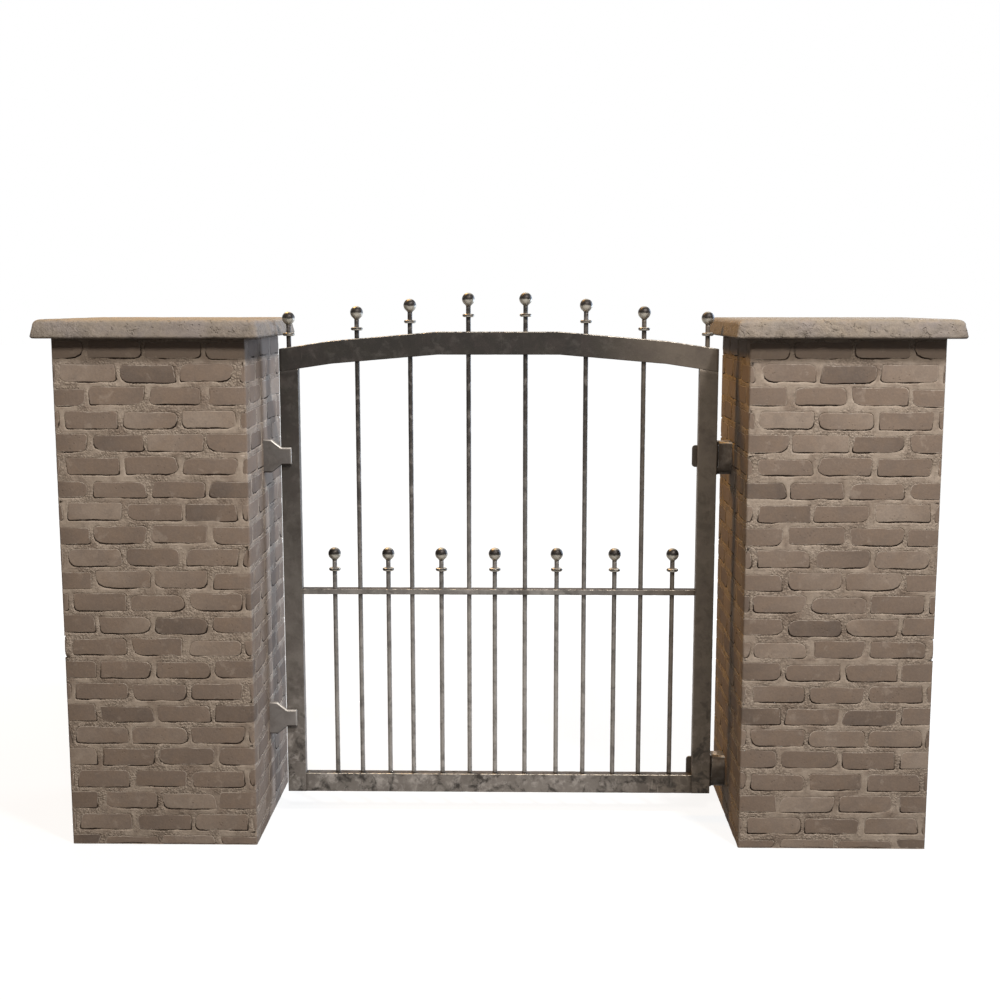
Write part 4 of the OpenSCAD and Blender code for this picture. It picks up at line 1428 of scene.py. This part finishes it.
def ball_part(p, x, y, bar_top, bar_radius, seed):
    """A ball on a short neck: a circle from its pole down to where the neck leaves it, then the
    neck's straight taper to the top of the bar."""
    radius = p.ball / 2
    angle = np.linspace(0.06, math.pi / 2 + NECK_ANGLE, BALL_RINGS)
    taper = np.linspace(radius * math.cos(NECK_ANGLE), bar_radius, NECK_RINGS + 1)[1:]
    fall = np.linspace(-radius * NECK_SHARE, -p.seat, NECK_RINGS + 1)[1:]
    radii = np.append(radius * np.sin(angle), taper)
    heights = np.append(radius * np.cos(angle), fall)
    # The crown's worn mark gives the ball's top a painted highlight.
    crown = smooth_step(heights[:BALL_RINGS] / radius, 0.75, 1.0) * 0.6
    return lathe(radii, heights, (x, y, bar_top + p.seat), 28, dents=BALL_DENTS, seed=seed,
                 height=heights / radius, worn=np.append(crown, np.full(NECK_RINGS, 0.35)))


def collar_part(p, x, y, bar_top, bar_radius, seed):
    """A flat ring with a round rim: a half circle between two level faces, open at the bar."""
    thick = p.collar_thick / 2
    angle = np.radians(np.linspace(90, -90, 9))
    rim = p.collar / 2 - thick
    flat = (bar_radius, bar_radius + COLLAR_FLAT)
    radii = np.concatenate((flat, rim + thick * np.cos(angle), flat[::-1]))
    heights = np.concatenate(((thick, thick), thick * np.sin(angle), (-thick, -thick)))
    worn = np.concatenate(((0, 0.1), 0.5 + 0.5 * np.sin(angle) ** 3, (0.1, 0)))
    return lathe(radii, heights, (x, y, bar_top - p.collar_drop), 24, closed=True, dents=COLLAR_DENTS,
                 seed=seed, height=heights / thick, worn=worn)


class GATE_OT_fit_finials(bpy.types.Operator):
    """Fit the balls and collars to the bars"""
    bl_idname = "gate.fit_finials"
    bl_label = "Fit Finials"

    def execute(self, context):
        p, leaf = context.scene.gate_finials, context.scene.gate_leaf
        turned = painted_band_ball_finish(p, leaf.bright)
        parts = {"tall_balls": [], "tall_collars": [], "short_balls": [], "short_collars": []}
        for k, node in enumerate(rod_nodes()):
            low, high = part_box(node)
            kind = "short" if node.startswith("short") else "tall"
            place = ((low.x + high.x) / 2, (low.y + high.y) / 2, high.z, (high.x - low.x) / 2)
            parts[kind + "_balls"].append(ball_part(p, *place, BALL_SEED + k))
            parts[kind + "_collars"].append(collar_part(p, *place, COLLAR_SEED + k))
        for node, several in parts.items():
            make_piece("turned_" + node, join_parts(several), turned, "leaf", node)
        return {"FINISHED"}


# ---------------------------------------------------------------- hinges and catches

# Distance within a plate's rim of the ring that keeps its face flat, and of the one that marks the rim
FACE_RING, RIM_RING = 0.0018, 0.0004
# Depth of a catch plate's bevel for its width
BEVEL_DEPTH = 0.8
# Length of the slope of a knuckle's rims
KNUCKLE_RIM = 0.001
# Thickness of a strap
STRAP_THICK = 0.006
# Room between a knuckle and its pin, between one knuckle and the next, and from the pin to the plates
BORE_ROOM, KNUCKLE_GAP, PIN_ROOM = 0.0001, 0.0004, 0.0005
# How far a flange is drawn in from the faces of its bracket
FLANGE_IN = 0.0002
# Height of a pin's domed ends for its radius
PIN_DOME = 0.4
# How far a catch plate runs on into the pier, and the radii of its corners from there round and back
ROOT_DEPTH, CATCH_CORNERS = 0.020, (0, 0.006, 0.006, 0.004, 0.004, 0.006, 0.006, 0)


def round_corners(corners, radii, steps=4):
    """A closed outline whose corners are replaced by arcs that touch both their edges.

    The arc starts and ends at the radius over the tangent of half the corner's angle from it."""
    corners = np.asarray(corners, float)
    points = []
    for k, radius in enumerate(radii):
        here = corners[k]
        to_last, to_next = corners[k - 1] - here, corners[(k + 1) % len(corners)] - here
        to_last /= np.linalg.norm(to_last)
        to_next /= np.linalg.norm(to_next)
        half = math.acos(np.clip(to_last @ to_next, -1, 1)) / 2
        if radius == 0 or half > math.radians(88):
            points.append(here[None])
            continue
        reach = radius / math.tan(half)
        middle = to_last + to_next
        centre = here + middle / np.linalg.norm(middle) * radius / math.sin(half)
        first, last = here + to_last * reach - centre, here + to_next * reach - centre
        share = np.linspace(0, 1, steps + 1)[:, None]
        arc = first * (1 - share) + last * share
        points.append(centre + arc / np.linalg.norm(arc, axis=1, keepdims=True) * radius)
    return np.vstack(points)


def draw_in(corners, inset):
    """The corners moved inwards by the inset, each along the middle of its two edges' directions."""
    ahead = np.roll(corners, -1, 0) - corners
    normal = np.stack((-ahead[:, 1], ahead[:, 0]), -1)
    normal /= np.linalg.norm(normal, axis=1, keepdims=True)
    last = np.roll(normal, 1, 0)
    way = (normal + last) / (1 + np.sum(normal * last, 1, keepdims=True))
    return corners + way * inset


def inner_outline(corners, radii, inset):
    """An outline drawn in by the inset: a corner that points out loses that much of its radius, and
    one that points in gains it."""
    before, after = corners - np.roll(corners, 1, 0), np.roll(corners, -1, 0) - corners
    points_out = before[:, 0] * after[:, 1] - before[:, 1] * after[:, 0] > 0
    radii = np.array(radii, float)
    drawn = np.where(points_out, np.maximum(radii - inset, 0.0003), radii + inset)
    return round_corners(draw_in(corners, inset), np.where(radii > 0, drawn, 0))


def plate_part(corners, front, back, edge, radii=None, bevel=None, chamfer=0.0):
    """An upright plate: an outline in X and Z, with rounded corners, carried from front to back.

    Both rims are rounded, or the front one is bevelled, and a last ring just inside each face
    keeps the face flat. A chamfer slopes only the front's upper and lower edges: there each ring's
    heights are held as far within the outline's as the ring still is from the chamfer's back."""
    corners = np.array(corners, float)
    radii = (0.0,) * len(corners) if radii is None else radii
    cut = bevel or edge
    rim = [(cut + FACE_RING, front, 0.0), (cut + RIM_RING, front, 0.7)]
    if bevel:
        rim += [(cut * share, front + cut * (1 - share) * BEVEL_DEPTH, 1.0)
                for share in (0.94, 0.5, 0.06)]
    else:
        rim += [(edge * (1 - math.sin(a)), front + edge * (1 - math.cos(a)), 1.0) for a in QUARTER]
    rim += [(edge * (1 - math.cos(a)), back - edge * (1 - math.sin(a)), 0.8) for a in QUARTER]
    rim += [(edge + FACE_RING, back, 0.0)]
    if chamfer:
        ends = [(0.0, front + chamfer - edge, 0.9), (0.0, front + chamfer + edge, 0.5)]
        rim = [*rim[:6], *ends, *rim[6:]]
    rings = []
    low, high = corners[:, 1].min(), corners[:, 1].max()
    for inset, y, _ in rim:
        flat = inner_outline(corners, radii, inset)
        hold = max(0.0, front + chamfer - y)
        held = np.clip(flat[:, 1], low + hold, high - hold)
        rings.append(np.stack((flat[:, 0], np.full(len(flat), y), held), -1))
    worn = np.array([mark for _, _, mark in rim])[:, None]
    return grid_part(np.stack(rings), ends="polygon", worn=worn)


def knuckle_part(radius, bore, bottom, top, axis):
    """A knuckle: a tube with sloped rims round the pin."""
    inner = radius - KNUCKLE_RIM
    radii = (bore, bore, inner, radius, radius, inner)
    heights = (bottom, top, top, top - KNUCKLE_RIM, bottom + KNUCKLE_RIM, bottom)
    return lathe(radii, heights, (*axis, 0.0), 32, closed=True, worn=(0, 0.1, 0.6, 0.1, 0.1, 0.6))


def strap_part(p, level, axis, bore):
    """A hinge strap: a flat plate on the back of the stile, ending in a knuckle round the pin."""
    low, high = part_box(level + "_strap")
    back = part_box("hinge_stile")[1].y
    corners = [(low.x, low.z), (axis[0], low.z), (axis[0], high.z), (low.x, high.z)]
    radii = (p.strap_corner, 0, 0, p.strap_corner)
    return join_parts([plate_part(corners, back, back + STRAP_THICK, p.edge, radii),
                       knuckle_part(p.knuckle, bore, low.z, high.z, axis)])


def bracket_part(p, level, axis, pin_radius):
    """A bracket: a length of channel, its web notched round the strap's knuckle, with one flange
    above and one below that run back into the pier, and with its own knuckles on the pin."""
    low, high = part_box(level + "_bracket")
    strap_low, strap_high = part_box(level + "_strap")
    notch_low, notch_high = strap_low.z - KNUCKLE_GAP, strap_high.z + KNUCKLE_GAP
    near, past = axis[0] + pin_radius + PIN_ROOM, axis[0] + (p.knuckle + p.knuckle_clear)
    topped = high.z - notch_high > p.knuckle
    upper = [(near, high.z), (near, notch_high), (past, notch_high)] if topped else [(past, high.z)]
    outline = [(near, low.z), (high.x, low.z), (high.x, high.z), *upper,
               (past, notch_low), (near, notch_low)]
    front, bore = axis[1] - p.wall / 2, pin_radius + BORE_ROOM
    parts = [plate_part(outline, front, front + p.wall, p.edge, chamfer=p.chamfer),
             knuckle_part(p.knuckle, bore, low.z, notch_low, axis)]
    if topped:
        parts.append(knuckle_part(p.knuckle, bore, notch_high, high.z, axis))
    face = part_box("right_pier")[0].x
    for bottom, start in ((low.z, near), (high.z - p.wall, near if topped else past)):
        top = bottom + p.wall
        flange = np.array(((start, bottom), (face, bottom), (face, top), (start, top)))
        parts.append(plate_part(draw_in(flange, FLANGE_IN), axis[1] + pin_radius + PIN_ROOM, high.y,
                                p.edge))
    return join_parts(parts)


def pin_part(low, high, radius, axis):
    """A hinge pin: a round bar with a low dome at each end."""
    dome = np.radians(np.linspace(8, 90, 6))
    rise, spread = radius * PIN_DOME * (1 - np.cos(dome)), radius * np.sin(dome)
    heights = np.concatenate((low.z + rise, high.z - rise[::-1]))
    radii = np.concatenate((spread, spread[::-1]))
    return lathe(radii, heights, (*axis, 0.0), 28, worn=np.full(len(radii), 0.6))


class GATE_OT_hang_hinges(bpy.types.Operator):
    """Hang the leaf: straps on the stile, brackets in the pier and the pins through both"""
    bl_idname = "gate.hang_hinges"
    bl_label = "Hang Hinges"

    def execute(self, context):
        p, leaf = context.scene.gate_plates, context.scene.gate_leaf
        plate = plate_finish("hinge_steel", p.hinge_steel, p.hinge_steel, p, leaf, 0.55)
        pin = plate_finish("pin_steel", p.catch_steel, p.catch_steel, p, leaf)
        for level in ("upper", "lower"):
            low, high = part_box(level + "_hinge_pin")
            axis, radius = ((low.x + high.x) / 2, (low.y + high.y) / 2), (high.x - low.x) / 2
            node = level + "_strap"
            strap = strap_part(p, level, axis, radius + BORE_ROOM)
            make_piece("forged_" + node, strap, plate, "leaf", node)
            node = level + "_bracket"
            bracket = bracket_part(p, level, axis, radius)
            make_piece("forged_" + node, bracket, plate, "piers", node)
            node = level + "_hinge_pin"
            hinge_pin = pin_part(low, high, radius, axis)
            make_piece("turned_" + node, hinge_pin, pin, "piers", node)
        return {"FINISHED"}


def catch_part(p, node):
    """A catch plate: a full-height root that tapers to a tongue, bevelled all round its face."""
    low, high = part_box(node)
    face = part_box("left_pier")[1].x
    middle, tongue = (low.z + high.z) / 2, p.tongue_height / 2
    start, root, neck = face - ROOT_DEPTH, face + p.root_length, face + p.neck_length
    lower = [(start, low.z), (root, low.z), (neck, middle - tongue), (high.x, middle - tongue)]
    upper = [(high.x, middle + tongue), (neck, middle + tongue), (root, high.z), (start, high.z)]
    return plate_part(lower + upper, low.y, high.y, p.edge, CATCH_CORNERS, p.bevel)


class GATE_OT_fix_catches(bpy.types.Operator):
    """Fix the two catch plates to the left pier"""
    bl_idname = "gate.fix_catches"
    bl_label = "Fix Catch Plates"

    def execute(self, context):
        p, leaf = context.scene.gate_plates, context.scene.gate_leaf
        plate = plate_finish("catch_steel", p.catch_steel, p.low_catch_steel, p, leaf)
        for node in ("upper_catch_plate", "lower_catch_plate"):
            make_piece("forged_" + node, catch_part(p, node), plate, "piers", node)
        return {"FINISHED"}


# ---------------------------------------------------------------- stage

# Places of the lamps, the widths of their squares and their tints, by the names of their powers
LAMPS = {
    "key": ((0.4, -6.93, 6.86), 1.5, (1.0, 0.93, 0.84)),
    "fill": ((2.6, -3.75, 7.02), 0.7, (0.98, 0.98, 1.0)),
    "side": ((4.5, 3.0, 2.2), 4.0, (0.60, 0.76, 1.0)),
    "warm": ((-2.4, 2.3, 6.0), 1.4, (1.0, 0.56, 0.15)),
}
# Tints of the light all round: from the left, from the right, and as it is seen
SKY_LEFT, SKY_RIGHT, WHITE = (0.62, 0.41, 0.18), (0.95, 0.98, 1.05), (1.0, 1.0, 1.0)
# Half the floor's width, its depth below the feet, and distances over which it turns fully white
FLOOR_REACH, FLOOR_DROP, FLOOR_FADE = 60.0, 0.001, (1.5, 5.0)
# The camera stands in front of the gate and above its capstones, tipped down and a little leftwards
CAMERA_PLACE = (0.0923, -5.198, 1.970)
CAMERA_TURN = (math.radians(81.93), 0.0, math.radians(0.955))
SENSOR = 36.0


def add_lamp(name, place, aim, width, power, tint):
    """A square lamp at a place, turned to face a point."""
    lamp = bpy.data.lights.new(name, "AREA")
    lamp.shape = "RECTANGLE"
    lamp.size = lamp.size_y = width
    lamp.energy = power
    lamp.color = tint
    holder = bpy.data.objects.new(name, lamp)
    holder.location = place
    holder.rotation_euler = (Vector(aim) - Vector(place)).to_track_quat("-Z", "Y").to_euler()
    bpy.context.scene.collection.objects.link(holder)


def white_seen(w):
    """1 for camera, glossy and transmission rays, which see the white surroundings."""
    rays = w.add("LightPath").outputs
    both = w.most(rays["Is Camera Ray"], rays["Is Glossy Ray"])
    return w.most(both, rays["Is Transmission Ray"])


def light_world(p):
    """Even light all round, warm from the left and cool from the right, seen as white."""
    world = bpy.data.worlds.new("studio")
    w = clear_wiring(world)
    side = w.add("SeparateXYZ", {"Vector": w.add("TexCoord").outputs["Generated"]}).outputs["X"]
    tint = w.mix(w.span(side, -0.7, 0.7), SKY_LEFT, SKY_RIGHT)
    even = w.add("Background", {"Color": tint, "Strength": p.ambient})
    seen = w.add("Background", {"Color": WHITE, "Strength": 1.0})
    both = w.add("MixShader", {0: white_seen(w), 1: even.outputs[0], 2: seen.outputs[0]})
    w.add("OutputWorld", {"Surface": both.outputs[0]})
    bpy.context.scene.world = world


def floor_finish(p):
    """A matt floor that is seen as white, a little less near the gate, where it holds the shadow."""
    material = bpy.data.materials.new("pale_floor")
    w = clear_wiring(material)
    place = w.add("TexCoord").outputs["Object"]
    distance = w.add("VectorMath", {0: place}, operation="LENGTH").outputs["Value"]
    seen = w.plus(p.glow, w.times(w.span(distance, *FLOOR_FADE), 1 - p.glow))
    matt = w.add("BsdfDiffuse", {"Color": p.floor})
    glow = w.add("Emission", {"Color": WHITE, "Strength": w.times(white_seen(w), seen)})
    both = w.add("AddShader", {0: matt.outputs[0], 1: glow.outputs[0]})
    w.add("OutputMaterial", {"Surface": both.outputs[0]})
    return material


def lay_floor(p, level):
    """One level square under the gate, which belongs to the stage."""
    mesh = bpy.data.meshes.new("floor")
    corners = [(x * FLOOR_REACH, y * FLOOR_REACH, level)
               for x, y in ((-1, -1), (1, -1), (1, 1), (-1, 1))]
    mesh.from_pydata(corners, [], [(0, 1, 2, 3)])
    mesh.materials.append(floor_finish(p))
    floor = bpy.data.objects.new("floor", mesh)
    bpy.context.scene.collection.objects.link(floor)


class GATE_OT_set_stage(bpy.types.Operator):
    """Set the floor, the lamps, the surroundings and the camera"""
    bl_idname = "gate.set_stage"
    bl_label = "Set Stage"

    def execute(self, context):
        p = context.scene.gate_stage
        scene = context.scene
        scene.view_settings.view_transform = "Standard"
        low, high = CAD_BOX
        light_world(p)
        lay_floor(p, low.z - FLOOR_DROP)
        for name, (place, width, tint) in LAMPS.items():
            add_lamp(name, place, (low + high) / 2, width, getattr(p, name), tint)
        lens = bpy.data.cameras.new("camera")
        lens.lens = p.lens
        lens.sensor_width = SENSOR
        camera = bpy.data.objects.new("camera", lens)
        camera.location = CAMERA_PLACE
        camera.rotation_euler = CAMERA_TURN
        scene.collection.objects.link(camera)
        scene.camera = camera
        return {"FINISHED"}


# ---------------------------------------------------------------- panel and run


class GATE_PT_panel(bpy.types.Panel):
    """The gate's steps in the order in which they run"""
    bl_idname = "GATE_PT_panel"
    bl_label = "Garden Gate"
    bl_space_type = "VIEW_3D"
    bl_region_type = "UI"
    bl_category = "Gate"

    def draw(self, context):
        for group in SETTINGS:
            box = self.layout.box()
            box.label(text=SETTINGS[group].__doc__)
            for name in SETTINGS[group].__annotations__:
                box.prop(getattr(context.scene, group), name)
        for step in STEPS:
            self.layout.operator(step.bl_idname)


SETTINGS = {
    "gate_piers": PierSettings,
    "gate_caps": CapSettings,
    "gate_leaf": LeafSettings,
    "gate_finials": FinialSettings,
    "gate_plates": PlateSettings,
    "gate_stage": StageSettings,
}
STEPS = (
    GATE_OT_set_stage,
    GATE_OT_lay_piers,
    GATE_OT_cast_capstones,
    GATE_OT_weld_frame,
    GATE_OT_set_bars,
    GATE_OT_fit_finials,
    GATE_OT_hang_hinges,
    GATE_OT_fix_catches,
)


def register():
    """Registers the settings, the steps and the panel."""
    for part in (*SETTINGS.values(), *STEPS, GATE_PT_panel):
        bpy.utils.register_class(part)
    for name, group in SETTINGS.items():
        setattr(bpy.types.Scene, name, PointerProperty(type=group))


def unregister():
    """Takes away what register put in, in the opposite order."""
    for name in SETTINGS:
        delattr(bpy.types.Scene, name)
    for part in (GATE_PT_panel, *reversed(STEPS), *SETTINGS.values()):
        bpy.utils.unregister_class(part)


def main():
    """Registers the settings, builds the shared effects and runs every step."""
    register()
    build_groups()
    for step in STEPS:
        family, name = step.bl_idname.split(".")
        getattr(getattr(bpy.ops, family), name)()


if __name__ == "__main__":
    main()
